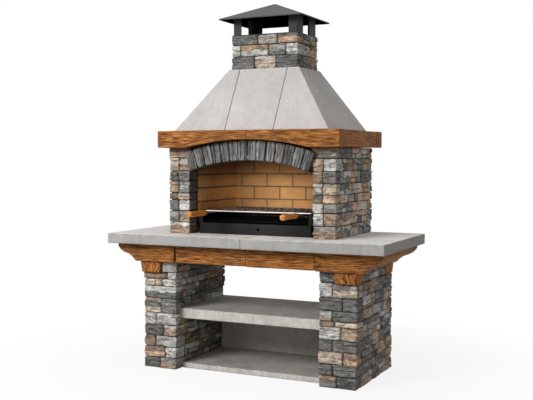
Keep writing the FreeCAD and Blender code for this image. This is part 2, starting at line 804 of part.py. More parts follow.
def screw_places():
    """Screw axes, in the middle of the flue wall on each side."""
    side = "( core_out + flue_out ) / 2"
    return ((f"- {side}", "cap_middle"), (side, "cap_middle"),
            ("0", "( core_front + flue_front ) / 2"), ("0", "( core_back + flue_back ) / 2"))


def cap():
    """Angle posts at the corners, under a low pyramid roof with a turned-down rim."""
    half = "cap_width / 2"
    front = "cap_middle - cap_depth / 2"
    back = "cap_middle + cap_depth / 2"
    tip = "cap_top / 2"
    outside = fuse("cap_outside", [
        frustum("cap_slopes", (half, front, back), (tip, f"cap_middle - {tip}", f"cap_middle + {tip}"),
                ("cap_shoulder", "cap_peak")),
        block("cap_rim_outside", (f"- {half}", half), (front, back), ("eave", "cap_shoulder")),
    ])
    thin = "cap_sheet"
    under = ((f"- {half} + {thin}", f"{half} - {thin}"), (f"{front} + {thin}", f"{back} - {thin}"))
    inside = fuse("cap_inside", [
        frustum("cap_slopes_inside", (f"{half} - {thin}", under[1][0], under[1][1]),
                (tip, f"cap_middle - {tip}", f"cap_middle + {tip}"), ("cap_shoulder", f"cap_peak - {thin}")),
        block("cap_rim_inside", under[0], under[1], ("cap_floor", "cap_shoulder")),
    ])
    roof = cut("cap_roof", outside, inside)
    posts = []
    west = "stack_out - post_inset_side - post_width"
    height = ("cap_floor", "cap_peak")
    for name, side in SIDES.items():
        for end, low in (("front", "stack_front + post_inset_front"),
                         ("rear", "stack_back - post_inset_front - post_depth")):
            high = f"{low} + post_depth"
            run = (f"{low} + post_wall", high) if end == "front" else (low, f"{high} - post_wall")
            bar = block(f"{name}_{end}_post_bar", mirrored(side, west, f"{west} + post_width"), (low, high), height)
            room = block(f"{name}_{end}_post_room", mirrored(side, west, f"{west} + post_width - post_wall"), run,
                         height)
            posts.append(common(f"{name}_{end}_post", cut(f"{name}_{end}_post_angle", bar, room), inside))
    doc.recompute()
    return [roof, group("cap_posts", [solid for post in posts for solid in post.Shape.Solids])]


def shank_room():
    """The clear space round both handle shanks, from the grips back to the grate's front bar."""
    reach = "( shank / 2 + running_gap )"
    rooms = []
    for side in SIDES.values():
        x = f"{side} * grip_spacing / 2 + grip_offset"
        rooms.append(solid_box(present((f"{x} - {reach}", f"{x} + {reach}"),
                                       ("grate_front - shank_reach", "grate_front"),
                                       (f"grate_level - shank_drop - {reach}", "grate_level"))))
    return Part.makeCompound(rooms)


def firebox():
    """Steel side plates, uprights, rails for the cooking grate, charcoal ledges and a rear tie.

    Rails and uprights are notched where a handle's shank would pass through them.
    """
    run = ("firebox_front + firebox_plate", "firebox_back")
    room = shank_room()
    flange = "firebox_in - flange_width"
    pieces = []
    rails = []
    ledges = []
    uprights = []
    for name, side in SIDES.items():
        pieces.append(block(f"{name}_firebox_plate", mirrored(side, "firebox_in", "firebox_out"), run,
                            ("hearth_top", "rail_top")))
        rail = solid_box(present(mirrored(side, flange, "firebox_in"), run,
                                 ("rail_top - firebox_plate", "rail_top")))
        rails += rail.cut(room).Solids
        ledges.append(solid_box(present(mirrored(side, "firebox_in - ledge_width", "firebox_in"), run,
                                        ("ledge_top - firebox_plate", "ledge_top"))))
        upright = solid_box(present(mirrored(side, flange, "firebox_out"),
                                    ("firebox_front", "firebox_front + firebox_plate"),
                                    ("drawer_top + drawer_lift", "rail_top")))
        uprights += upright.cut(room).Solids
    tie = block("firebox_tie", ("- firebox_in", "firebox_in"),
                ("firebox_back - firebox_plate", "firebox_back"),
                ("ledge_top + coal_bar * 2", "ledge_top + coal_bar * 2 + tie_height"))
    return pieces + [group("grate_rails", rails), group("charcoal_ledges", ledges),
                     group("firebox_uprights", uprights), tie]


def ash_drawer():
    """A steel front with a finger hole, and the tray that it closes."""
    half = "drawer_width / 2"
    sheet_front = block("drawer_sheet_front", (f"- {half}", half), ("firebox_front", "drawer_back"),
                        ("drawer_bottom", "drawer_top"))
    hole = rod("drawer_hole", "finger_hole", "drawer_sheet",
               ("seam_offset", "firebox_front", "( drawer_bottom + drawer_top ) / 2"), TURN_BACK)
    side = "tray_width / 2"
    wall = "drawer_sheet"
    box = block("tray_outside", (f"- {side}", side), ("drawer_back", "drawer_back + tray_length"),
                ("tray_bottom", "tray_bottom + tray_height"))
    room = block("tray_inside", (f"- {side} + {wall}", f"{side} - {wall}"),
                 ("drawer_back", f"drawer_back + tray_length - {wall}"),
                 (f"tray_bottom + {wall}", "tray_bottom + tray_height"))
    return [cut("ash_drawer_front", sheet_front, hole), cut("ash_tray", box, room)]


def bar_solid(start, end, diameter):
    run = end.sub(start)
    return Part.makeCylinder(diameter / 2, run.Length, start, run)


def charcoal_grate():
    """Round bars from ledge to ledge, joined by two flat ties underneath."""
    reach = value("firebox_in") - value("firebox_plate")
    level = value("coal_level")
    diameter = value("coal_bar")
    start = value("firebox_front") + value("firebox_plate") + diameter
    end = value("firebox_back") - value("firebox_plate") - diameter
    count = int((end - start) / value("coal_pitch"))
    pitch = (end - start) / count
    places = [start + index * pitch for index in range(count + 1)]
    bars = [bar_solid(FreeCAD.Vector(-reach, y, level), FreeCAD.Vector(reach, y, level), diameter)
            for y in places]
    inset = value("coal_tie_inset")
    width = value("coal_tie_width")
    underside = level - diameter / 2
    ties = []
    for west in (-reach + inset, reach - inset - width):
        run = (start - diameter / 2, end + diameter / 2)
        ties.append(solid_box([(west, west + width), run, (underside - value("coal_tie"), underside)]))
    return [group("charcoal_bars", bars), group("charcoal_ties", ties)]


def cooking_grate():
    """A round-bar frame filled with rods, on two shanks with turned timber grips."""
    half = value("grate_width") / 2 - value("grate_bar") / 2
    corner = value("grate_corner")
    front = value("grate_front")
    back = front + value("grate_depth") - value("grate_bar")
    level = value("grate_level")
    radius = value("grate_bar") / 2
    loop = rounded_loop(half, front, back, corner, level)
    section = Part.Wire(Part.makeCircle(radius, FreeCAD.Vector(0, front, level), FreeCAD.Vector(1, 0, 0)))
    frame = group("grate_frame", [loop.makePipeShell([section], True, False)])
    span = half - corner - radius
    count = int(2 * span / value("grate_pitch"))
    pitch = 2 * span / count
    rods = [bar_solid(FreeCAD.Vector(-span + index * pitch, front + radius, level),
                      FreeCAD.Vector(-span + index * pitch, back - radius, level), value("grate_rod"))
            for index in range(count + 1)]
    pieces = [frame, group("grate_rods", rods)]
    for name, side in SIDES.items():
        pieces += handle(name, side)
    return pieces


def rounded_loop(half, front, back, corner, level):
    """A closed rectangular wire with round corners, starting in the middle of its front run."""
    turns = [(half, front, -90), (half, back, 0), (-half, back, 90), (-half, front, 180)]
    edges = []
    last = FreeCAD.Vector(0, front, level)
    for x, y, angle in turns:
        centre = FreeCAD.Vector(x - math.copysign(corner, x), y + (corner if y == front else -corner), level)
        arc = Part.makeCircle(corner, centre, FreeCAD.Vector(0, 0, 1), angle, angle + 90)
        edges.append(Part.makeLine(last, arc.Vertexes[0].Point))
        edges.append(arc)
        last = arc.Vertexes[1].Point
    edges.append(Part.makeLine(last, FreeCAD.Vector(0, front, level)))
    return Part.Wire(edges)


def handle(name, side):
    """A steel shank welded to the front bar and a tapered timber grip pushed over it."""
    x = f"{side} * grip_spacing / 2 + grip_offset"
    level = "grate_level - shank_drop"
    grip_back = "grate_front - shank_reach"
    shank = rod(f"{name}_handle_shank", "shank", "shank_reach + grip_bore - grate_bar / 2",
                (x, f"{grip_back} - grip_bore", level), TURN_BACK)
    cone = doc.addObject("Part::Cone", f"{name}_grip_blank")
    bind(cone, "Radius1", "grip_front / 2")
    bind(cone, "Radius2", "grip_rear / 2")
    bind(cone, "Height", "grip_length")
    cone.Placement.Rotation = TURN_BACK
    for place, text in zip("xyz", (x, f"{grip_back} - grip_length", level)):
        bind(cone, f".Placement.Base.{place}", text)
    doc.recompute()
    rounded = doc.addObject("Part::Fillet", f"{name}_grip_round")
    rounded.Base = cone
    rims = [index for index, edge in enumerate(cone.Shape.Edges, start=1) if len(edge.Vertexes) == 1]
    rounded.Edges = [(index, value("grip_round"), value("grip_round")) for index in rims]
    bore = rod(f"{name}_grip_bore", "shank", "grip_bore", (x, f"{grip_back} - grip_bore", level), TURN_BACK)
    return [shank, cut(f"{name}_grip", rounded, bore)]


def check(pieces):
    """Stop if any object failed or any piece is empty or broken."""
    doc.recompute()
    for thing in doc.Objects:
        if any(word in thing.State for word in ("Invalid", "Error")):
            raise RuntimeError(f"{thing.Label} failed: {thing.State}")
    for piece in pieces:
        if piece.Shape.isNull() or not piece.Shape.isValid() or not piece.Shape.Solids:
            raise RuntimeError(f"{piece.Label} has no valid shape")


pieces = base() + firebox_walls() + mantel() + hood() + chimney()
pieces += firebox() + ash_drawer() + charcoal_grate() + cooking_grate()
check(pieces)
os.makedirs("parts", exist_ok=True)
for piece in pieces:
    piece.Shape.exportStep(f"parts/{piece.Label}.step")
    print(piece.Label, len(piece.Shape.Solids), round(piece.Shape.Volume / 1000), "cm3")
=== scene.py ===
# %% [markdown]
# # A masonry barbecue, dressed in Blender
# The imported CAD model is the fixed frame: every solid already stands in its place, in metres, with X to the
# right, Y to the back and Z up. This lesson keeps the solids whose shape is right and gives them a finish,
# and builds a finer surface over those that are rough, worn or rounded on the real barbecue.

# %% load the frame
import math

import bpy
import numpy as np
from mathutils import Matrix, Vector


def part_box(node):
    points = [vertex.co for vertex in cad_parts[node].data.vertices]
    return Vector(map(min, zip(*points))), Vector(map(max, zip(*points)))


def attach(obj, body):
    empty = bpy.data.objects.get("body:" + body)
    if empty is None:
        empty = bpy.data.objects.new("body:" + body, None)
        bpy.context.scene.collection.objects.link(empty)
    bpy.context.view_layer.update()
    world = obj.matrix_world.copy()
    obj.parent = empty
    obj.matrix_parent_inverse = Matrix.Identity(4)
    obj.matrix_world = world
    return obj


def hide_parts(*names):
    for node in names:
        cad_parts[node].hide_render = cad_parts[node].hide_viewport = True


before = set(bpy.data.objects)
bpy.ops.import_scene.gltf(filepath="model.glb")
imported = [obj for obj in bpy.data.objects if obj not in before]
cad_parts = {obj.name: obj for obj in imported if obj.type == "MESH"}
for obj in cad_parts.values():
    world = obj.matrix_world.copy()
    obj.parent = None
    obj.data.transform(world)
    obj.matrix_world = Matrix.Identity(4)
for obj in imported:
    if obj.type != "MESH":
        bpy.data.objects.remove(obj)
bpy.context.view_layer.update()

# %% [markdown]
# ## The camera
# The photograph is a plain product view from the right, a little above the worktop. Its place was solved from
# the straight edges of slabs and beams. Blender's lens is given in millimetres on a 36 mm wide sensor, so a
# focal length of 896.6 pixels in a 533 pixel wide image is 60.56 mm.

# %% camera
SENSOR_MM = 36
IMAGE_WIDTH = 533
FOCAL_PIXELS = 896.64
CAMERA_PLACE = (2.5024, -5.2529, 1.3769)
TILT_DOWN = 2.779
TURN_LEFT = 25.545
scene = bpy.context.scene
camera = bpy.data.objects.new("camera", bpy.data.cameras.new("camera"))
camera.data.sensor_fit = "HORIZONTAL"
camera.data.sensor_width = SENSOR_MM
camera.data.lens = SENSOR_MM * FOCAL_PIXELS / IMAGE_WIDTH
camera.location = CAMERA_PLACE
camera.rotation_euler = (math.radians(90 - TILT_DOWN), 0, math.radians(TURN_LEFT))
scene.collection.objects.link(camera)
scene.camera = camera
scene.view_settings.view_transform = "Standard"
print("lens", round(camera.data.lens, 2), "mm")

# %% [markdown]
# ## Colours and nodes
# Colours are written as sRGB hex, as a paint chart gives them, and one function turns them into the linear
# light that shaders work with. One small function adds any node with its settings and its links, so that a
# material below reads as a list of what is mixed with what. A Mix node keeps its first sockets for numbers:
# its colours go into sockets 6 and 7, and the mixed colour is output 2.

# %% colours and nodes
WHITE = (1.0, 1.0, 1.0)
FULL_WHITE = (1, 1, 1, 1)
# settings of a Mix node that lays one colour over another, and of one that multiplies two
BLEND = {"data_type": "RGBA"}
TIMES = {"data_type": "RGBA", "blend_type": "MULTIPLY"}


def linear(code):
    """Linear RGB of an sRGB hex: c / 12.92 up to 0.04045, and ((c + 0.055) / 1.055) ** 2.4 above."""
    srgb = np.array([int(code[place:place + 2], 16) for place in (1, 3, 5)]) / 255
    return np.where(srgb <= 0.04045, srgb / 12.92, ((srgb + 0.055) / 1.055) ** 2.4)


def per_mm(size):
    """Texture scale whose features are about that many millimetres across, in a scene in metres."""
    return 1000 / size


def add(tree, kind, inputs=None, stops=(), **settings):
    """One node: its settings, its sockets set to a value or linked to an output, a ramp's colour stops."""
    node = tree.nodes.new(kind)
    for name, value in settings.items():
        setattr(node, name, value)
    for socket, value in (inputs or {}).items():
        if isinstance(value, bpy.types.NodeSocket):
            tree.links.new(value, node.inputs[socket])
        else:
            node.inputs[socket].default_value = value
    if stops:
        elements = node.color_ramp.elements
        while len(elements) < len(stops):
            elements.new(1.0)
        for element, (place, code) in zip(elements, stops):
            element.position = place
            element.color = (*linear(code), 1)
    return node


def new_finish(name):
    """An empty material and its node tree."""
    material = bpy.data.materials.new(name)
    material.use_nodes = True
    material.node_tree.nodes.clear()
    return material, material.node_tree


print("mid grey is", linear("#808080").round(3))

# %% [markdown]
# ## Floor, backdrop and light
# A studio sweep: white to the camera, plain light on the object. The world is a soft grey for lighting, and
# pure white only for what the camera, a mirror or glass sees. The floor is pale and keeps a faint shadow. A
# large key lamp stands at the front, a little to the left and above, so that fronts are bright and the right
# sides fall into half shade, as in the photograph. A wide top lamp lights the slabs, a weak fill opens the
# right sides a little, and a small lamp with a narrow beam reaches the back of the hearth.

# %% stage and lamps
WORLD_LEVEL = 0.32
FLOOR_HALF = 14.0
FLOOR_LEVEL = -0.001
# name, place, target, width of the disk, watts, spread in degrees
LAMPS = [("key", (-3.4, -7.0, 4.9), (0, 0, 1.1), 3.5, 468, 180),
         ("top", (0, -0.8, 6.6), (0, 0, 1.0), 5.0, 75, 180),
         ("fill", (5.2, -4.6, 2.2), (0, 0, 1.0), 2.5, 7, 180),
         ("hearth", (0.3, -1.35, 1.13), (-0.06, 0.34, 1.11), 0.1, 0.68, 31)]


def seen_directly(tree):
    """1 where a ray comes from the camera, a reflection or a transmission, and 0 where it carries light."""
    path = add(tree, "ShaderNodeLightPath").outputs
    either = add(tree, "ShaderNodeMath", {0: path["Is Camera Ray"], 1: path["Is Glossy Ray"]},
                 operation="MAXIMUM").outputs[0]
    return add(tree, "ShaderNodeMath", {0: either, 1: path["Is Transmission Ray"]},
               operation="MAXIMUM").outputs[0]


world = bpy.data.worlds.new("studio")
scene.world = world
world.use_nodes = True
tree = world.node_tree
tree.nodes.clear()
soft = add(tree, "ShaderNodeBackground", {"Color": FULL_WHITE, "Strength": WORLD_LEVEL})
white = add(tree, "ShaderNodeBackground", {"Color": FULL_WHITE, "Strength": 1})
choice = add(tree, "ShaderNodeMixShader", {0: seen_directly(tree), 1: soft.outputs[0], 2: white.outputs[0]})
add(tree, "ShaderNodeOutputWorld", {"Surface": choice.outputs[0]})

pale_floor, tree = new_finish("pale_floor")
direct = seen_directly(tree)
paint = add(tree, "ShaderNodeMix", {0: direct, 6: (*linear("#8C8C8C"), 1), 7: (*linear("#FBFBFB"), 1)},
            **BLEND).outputs[2]
shader = add(tree, "ShaderNodeBsdfPrincipled", {"Base Color": paint, "Roughness": 0.9,
                                                "Specular IOR Level": 0.0})
spot = add(tree, "ShaderNodeTexCoord").outputs["Object"]
far = add(tree, "ShaderNodeVectorMath", {0: spot}, operation="LENGTH").outputs["Value"]
blank = add(tree, "ShaderNodeMapRange", {"Value": far, "From Min": 0.9, "From Max": 2.4, "To Min": 0.86,
                                         "To Max": 1.0}, interpolation_type="SMOOTHSTEP").outputs[0]
share = add(tree, "ShaderNodeMath", {0: direct, 1: blank}, operation="MULTIPLY").outputs[0]
glow = add(tree, "ShaderNodeEmission", {"Color": FULL_WHITE, "Strength": 1})
mixed = add(tree, "ShaderNodeMixShader", {0: share, 1: shader.outputs[0], 2: glow.outputs[0]})
add(tree, "ShaderNodeOutputMaterial", {"Surface": mixed.outputs[0]})
corners = [(x * FLOOR_HALF, y * FLOOR_HALF, FLOOR_LEVEL) for x, y in ((-1, -1), (1, -1), (1, 1), (-1, 1))]
floor_mesh = bpy.data.meshes.new("floor")
floor_mesh.from_pydata(corners, [], [(0, 1, 2, 3)])
floor_mesh.materials.append(pale_floor)
floor = bpy.data.objects.new("floor", floor_mesh)
scene.collection.objects.link(floor)

for label, place, target, size, power, spread in LAMPS:
    lamp = bpy.data.objects.new(label, bpy.data.lights.new(label, "AREA"))
    lamp.data.shape = "DISK"
    lamp.data.size = size
    lamp.data.energy = power
    lamp.data.spread = math.radians(spread)
    lamp.location = place
    aim = np.array(target) - np.array(place)
    flat = math.hypot(aim[0], aim[1])
    lamp.rotation_euler = (math.pi / 2 + math.atan2(aim[2], flat), 0, math.atan2(-aim[0], aim[1]))
    scene.collection.objects.link(lamp)
print("stage with", len(LAMPS), "lamps")

# %% [markdown]
# ## Surfaces from numbers
# A loft is a ring of points carried along a run of stations. It could be made by extruding in edit mode, but
# as an array of points it can be bent, worn and roughened by a formula in one step. Every new piece below is
# a set of closed lofts, and this cell turns such a set into one object that rides on its CAD body.

# %% lofts to mesh
def signed_volume(points, quads, lids):
    """Sum of a . (b x c) / 6 over the triangles of quads and lids: negative when turned inside out."""
    fans = [(quads[:, 0], quads[:, 1], quads[:, 2]), (quads[:, 0], quads[:, 2], quads[:, 3])]
    fans += [(np.repeat(lid[:1], len(lid) - 2), lid[1:-1], lid[2:]) for lid in lids]
    return sum((points[a] * np.cross(points[b], points[c])).sum() for a, b, c in fans) / 6


def lid_map(points):
    """Flat map of a lid: its two widest directions, the longer one first."""
    return points[:, np.argsort(-np.ptp(points, axis=0))[:2]]


def make_piece(name, lofts, finish, nodes, body="masonry", crease=40):
    """One object from closed lofts: quads between rings, a flat lid on each end, faces turned outwards."""
    verts, loops, sizes, grain, tint = [], [], [], [], []
    base = 0
    for loft in lofts:
        points = loft["points"]
        rows, columns = points.shape[:2]
        index = np.arange(rows * columns).reshape(rows, columns)
        ahead = np.roll(index, -1, 1)
        quads = np.stack([index[:-1], ahead[:-1], ahead[1:], index[1:]], -1).reshape(-1, 4)
        lids = np.stack([index[0, ::-1], index[-1]])
        flat = points.reshape(-1, 3)
        uv = loft.get("uv", np.zeros((rows, columns + 1, 2)))
        quad_uv = np.stack([uv[:-1, :-1], uv[:-1, 1:], uv[1:, 1:], uv[1:, :-1]], -2).reshape(-1, 4, 2)
        lid_uv = np.stack([lid_map(flat[lid]) for lid in lids])
        if signed_volume(flat - flat.mean(0), quads, lids) < 0:
            quads, lids, quad_uv, lid_uv = (part[:, ::-1] for part in (quads, lids, quad_uv, lid_uv))
        verts.append(flat)
        loops.append(np.concatenate([quads.ravel(), lids.ravel()]) + base)
        sizes.append(np.concatenate([np.full(len(quads), 4), np.full(2, columns)]))
        grain.append(np.concatenate([quad_uv.reshape(-1, 2), lid_uv.reshape(-1, 2)]))
        tint.append(np.broadcast_to(loft.get("tint", WHITE), points.shape).reshape(-1, 3))
        base += len(flat)
    verts, loops, sizes = np.concatenate(verts), np.concatenate(loops), np.concatenate(sizes)
    mesh = bpy.data.meshes.new(name)
    mesh.vertices.add(len(verts))
    mesh.vertices.foreach_set("co", verts.ravel())
    mesh.loops.add(len(loops))
    mesh.loops.foreach_set("vertex_index", loops.astype(np.int32))
    mesh.polygons.add(len(sizes))
    mesh.polygons.foreach_set("loop_start", np.concatenate([[0], np.cumsum(sizes)[:-1]]).astype(np.int32))
    mesh.update(calc_edges=True)
    mesh.uv_layers.new(name="grain").data.foreach_set("uv", np.concatenate(grain).ravel())
    colours = np.concatenate([np.concatenate(tint), np.ones((len(verts), 1))], 1)
    mesh.attributes.new("tint", "FLOAT_COLOR", "POINT").data.foreach_set("color", colours.ravel())
    mesh.polygons.foreach_set("use_smooth", np.ones(len(sizes), bool))
    mesh.set_sharp_from_angle(angle=math.radians(crease))
    mesh.materials.append(finish)
    piece = bpy.data.objects.new(name, mesh)
    scene.collection.objects.link(piece)
    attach(piece, body)
    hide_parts(*nodes)
    print(name, len(sizes), "faces")


# %% [markdown]
# ## Roughness from numbers
# Wear, hewing marks and split faces all need a random surface that is the same on every run. Random values on
# a cubic lattice, blended smoothly between lattice points, give one with a chosen size of bump.

# %% lattice noise
HASH_WAYS = np.array([73856093, 19349663, 83492791])
HASH_SEED = 265443576
HASH_STIR = 1274126177


def lattice_noise(points, size, seed=0):
    """Smooth noise in -1..1: hashed values on a lattice of that cell size, blended by 3t^2 - 2t^3."""
    grid = np.asarray(points, float) / size
    corner = np.floor(grid).astype(np.int64)
    blend = grid - corner
    blend = blend * blend * (3 - 2 * blend)
    total = np.zeros(grid.shape[:-1])
    for step in np.ndindex(2, 2, 2):
        key = ((corner + step) * HASH_WAYS).sum(-1) + seed * HASH_SEED
        key = (key ^ (key >> 13)) * HASH_STIR
        value = ((key ^ (key >> 16)) & 0xFFFF) / 32767.5 - 1
        total += value * np.prod(np.where(step, blend, 1 - blend), -1)
    return total


def noise_along(run, size, seed):
    """The same noise over one distance."""
    return lattice_noise(np.stack([run, np.zeros_like(run), np.zeros_like(run)], -1), size, seed)


def relief_of(*layers, seed=0):
    """Relief over (u, v): the sum of depth * (noise(u / length, v / width) - 1), so it never stands proud."""
    def relief(u, v):
        flat = np.zeros_like(u)
        return sum(depth * (lattice_noise(np.stack([u / length, v / width, flat], -1), 1.0, seed + place) - 1)
                   for place, (depth, length, width) in enumerate(layers))
    return relief


sample = noise_along(np.linspace(0, 1, 500), 0.01, 0)
print("noise between", sample.min().round(2), "and", sample.max().round(2))

# %% [markdown]
# ## Sections with softened edges
# Cast slabs and sawn beams never have a perfectly sharp arris. This cell carries a polygon along one axis,
# cuts its corners by a small parabola, draws the ends in by a quarter circle, and can push the sides in and
# out by a relief. A Bevel modifier would soften the edges too, but could not follow a section that changes.

# %% softened sweep
ARC_POINTS = 4
CORNER_CUT = 1.4


def softened(corners, cut, parts):
    """Rings with corners p replaced by (1-t)^2 a + 2t(1-t) p + t^2 b, where a and b lie at the cut from p."""
    before = np.roll(corners, 1, 1) - corners
    after = np.roll(corners, -1, 1) - corners
    start = corners + cut * before / np.linalg.norm(before, axis=-1, keepdims=True)
    end = corners + cut * after / np.linalg.norm(after, axis=-1, keepdims=True)
    t = np.linspace(0, 1, ARC_POINTS)[None, None, :, None]
    arcs = (1 - t) ** 2 * start[:, :, None] + 2 * t * (1 - t) * corners[:, :, None] + t ** 2 * end[:, :, None]
    ring = []
    for corner, part in enumerate(parts):
        share = np.linspace(0, 1, part + 1)[1:-1][None, :, None]
        ring.append(arcs[:, corner])
        ring.append((1 - share) * end[:, corner, None] + share * start[:, (corner + 1) % len(parts), None])
    return np.concatenate(ring, 1)


def outward(ring):
    """Unit normals of anticlockwise rings: the tangent (x, y) turned to (y, -x)."""
    tangent = np.roll(ring, -1, 1) - np.roll(ring, 1, 1)
    turned = np.stack([tangent[..., 1], -tangent[..., 0]], -1)
    return turned / np.linalg.norm(turned, axis=-1, keepdims=True)


def sweep(axis, stations, corners, soft, parts, relief=None, grain="along", shift=0.0):
    """A polygon corners[station, corner] carried along an axis, its ends drawn in by soft * (1 - sin a)."""
    turn = np.linspace(0, math.pi / 2, ARC_POINTS)
    rise = soft * (1 - np.cos(turn))
    draw = soft * (1 - np.sin(turn))
    inner = stations[(stations > stations[0] + soft) & (stations < stations[-1] - soft)]
    places = np.concatenate([stations[0] + rise, inner, stations[-1] - rise[::-1]])
    draws = np.concatenate([draw, np.zeros(len(inner)), draw[::-1]])
    columns = corners.reshape(len(stations), -1).T
    shape = np.stack([np.interp(places, stations, column) for column in columns], -1)
    ring = softened(shape.reshape(len(places), -1, 2), CORNER_CUT * soft, parts)
    closed = np.concatenate([ring, ring[:, :1]], 1).mean(0)
    around = np.concatenate([[0], np.cumsum(np.linalg.norm(np.diff(closed, axis=0), axis=1))])
    u, v = np.meshgrid(places, around, indexing="ij")
    u, v = (u, v) if grain == "along" else (v, u)
    push = -np.repeat(draws[:, None], ring.shape[1], 1)
    if relief:
        push = push + relief(u[:, :-1] + shift, v[:, :-1] + shift)
    ring = ring + outward(ring) * push[..., None]
    points = np.empty(ring.shape[:2] + (3,))
    points[..., axis] = places[:, None]
    points[..., (axis + 1) % 3] = ring[..., 0]
    points[..., (axis + 2) % 3] = ring[..., 1]
    return {"points": points, "uv": np.stack([u, v], -1) + shift}


square = np.array([[(0, 0), (1, 0), (1, 1), (0, 1)]])
print("a square with softened corners has", softened(square, 0.1, [1] * 4).shape[1], "points")

# %% outlines and blocks
def outline(count, *pairs):
    """Corners[station, corner] from pairs of coordinates, each a number or an array over the stations."""
    return np.stack([np.stack([np.broadcast_to(way, count) for way in pair], -1) for pair in pairs], 1)


def rectangle(low, high, count):
    """Anticlockwise corners of a rectangle, repeated for each station."""
    return outline(count, (low[0], low[1]), (high[0], low[1]), (high[0], high[1]), (low[0], high[1]))


def node_box(node):
    """Lowest and highest corner of a CAD node as arrays."""
    low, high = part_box(node)
    return np.array(low), np.array(high)


def block(low, high, axis, soft, step, **more):
    """A rectangular block between two corners, carried along an axis and divided every step or so."""
    ways = [(axis + 1) % 3, (axis + 2) % 3]
    count = max(2, int((high[axis] - low[axis]) / step) + 1)
    stations = np.linspace(low[axis], high[axis], count)
    parts = [max(1, int((high[way] - low[way]) / step)) for way in ways] * 2
    return sweep(axis, stations, rectangle(low[ways], high[ways], count), soft, parts, **more)


print("left worktop slab", *node_box("worktop_left"))

# %% [markdown]
# ## Cast concrete
# Worktop, shelf, floor, hood and back panels are cast in smooth moulds from a pale cement. The eye sees a
# light warm grey with soft clouds a hand wide, thumb-sized runs, a fine sandy speckle and a few pinholes left
# by air. The shade comes from noises of 180, 26 and 9 mm, and the pinholes from a cell pattern of 16 mm in
# which only some cells get a dot. Painted light sets the sides of slabs apart from their tops: the worktop's
# edges are painted darker than its top, and the edges of shelf and floor lighter than their tops.

# %% concrete finish
def cement(name, low, middle, high, skin=1.0, mottle=0.22, worn=True):
    """Cast cement: three shades over 180 mm clouds, 26 mm runs, 9 mm sand, pinholes in one of five cells.

    Runs are drawn out downwards and darken by the mottle. The skin factor is painted light: it makes
    vertical faces lighter or darker than the tops. Worn pieces are also multiplied by the tint of
    their points.
    """
    finish, tree = new_finish(name)
    spot = add(tree, "ShaderNodeTexCoord").outputs["Object"]
    clouds = add(tree, "ShaderNodeTexNoise", {"Vector": spot, "Scale": per_mm(180), "Detail": 8,
                                              "Roughness": 0.66}).outputs["Fac"]
    pale = add(tree, "ShaderNodeValToRGB", {"Fac": clouds},
               [(0.32, low), (0.5, middle), (0.68, high)]).outputs["Color"]
    sand = add(tree, "ShaderNodeTexNoise", {"Vector": spot, "Scale": per_mm(9), "Detail": 4,
                                            "Roughness": 0.7}).outputs["Fac"]
    speck = add(tree, "ShaderNodeMapRange", {"Value": sand, "From Min": 0.3, "From Max": 0.7,
                                             "To Min": 0.94 - 0.55 * mottle,
                                             "To Max": 1.04 + 0.36 * mottle}).outputs[0]
    drawn = add(tree, "ShaderNodeMapping", {"Vector": spot, "Scale": (1, 1, 0.4)}).outputs[0]
    runs = add(tree, "ShaderNodeTexNoise", {"Vector": drawn, "Scale": per_mm(26), "Detail": 6,
                                            "Roughness": 0.7, "Distortion": 0.4}).outputs["Fac"]
    blots = add(tree, "ShaderNodeMapRange", {"Value": runs, "From Min": 0.36, "From Max": 0.62,
                                             "To Min": 1 - mottle, "To Max": 1 + mottle / 4}).outputs[0]
    normal = add(tree, "ShaderNodeNewGeometry").outputs["Normal"]
    facing = add(tree, "ShaderNodeSeparateXYZ", {0: normal}).outputs[2]
    # painted light: faces that do not look up get the skin factor, lighter or darker than the tops
    upright_light_and_wear = add(tree, "ShaderNodeMapRange", {"Value": facing, "From Min": 0.3, "From Max": 0.8,
                                               "To Min": skin, "To Max": 1.0}).outputs[0]
    if worn:
        edge = add(tree, "ShaderNodeAttribute", attribute_name="tint").outputs["Fac"]
        upright_light_and_wear = add(tree, "ShaderNodeMath", {0: upright_light_and_wear, 1: edge}, operation="MULTIPLY").outputs[0]
    both = add(tree, "ShaderNodeMath", {0: speck, 1: blots}, operation="MULTIPLY").outputs[0]
    shade = add(tree, "ShaderNodeMath", {0: both, 1: upright_light_and_wear}, operation="MULTIPLY").outputs[0]
    sandy = add(tree, "ShaderNodeMix", {0: 1.0, 6: pale, 7: shade}, **TIMES).outputs[2]
    holes = add(tree, "ShaderNodeTexVoronoi", {"Vector": spot, "Scale": per_mm(16)}).outputs
    dots = add(tree, "ShaderNodeMapRange", {"Value": holes["Distance"], "From Min": 0.12, "From Max": 0.22,
                                            "To Min": 0.45, "To Max": 1.0}).outputs[0]
    rare = add(tree, "ShaderNodeMath", {0: holes["Color"], 1: 0.2}, operation="GREATER_THAN").outputs[0]
    pinhole = add(tree, "ShaderNodeMath", {0: dots, 1: rare}, operation="MAXIMUM").outputs[0]
    dotted = add(tree, "ShaderNodeMix", {0: 1.0, 6: sandy, 7: pinhole}, **TIMES).outputs[2]
    height = add(tree, "ShaderNodeMath", {0: pinhole, 1: sand}, operation="ADD").outputs[0]
    bump = add(tree, "ShaderNodeBump", {"Height": height, "Strength": 0.35, "Distance": 0.0012}).outputs[0]
    shader = add(tree, "ShaderNodeBsdfPrincipled", {"Base Color": dotted, "Roughness": 0.88, "IOR": 1.5,
                                                    "Specular IOR Level": 0.3, "Normal": bump})
    add(tree, "ShaderNodeOutputMaterial", {"Surface": shader.outputs[0]})
    print(name, len(tree.nodes), "nodes")
    return finish
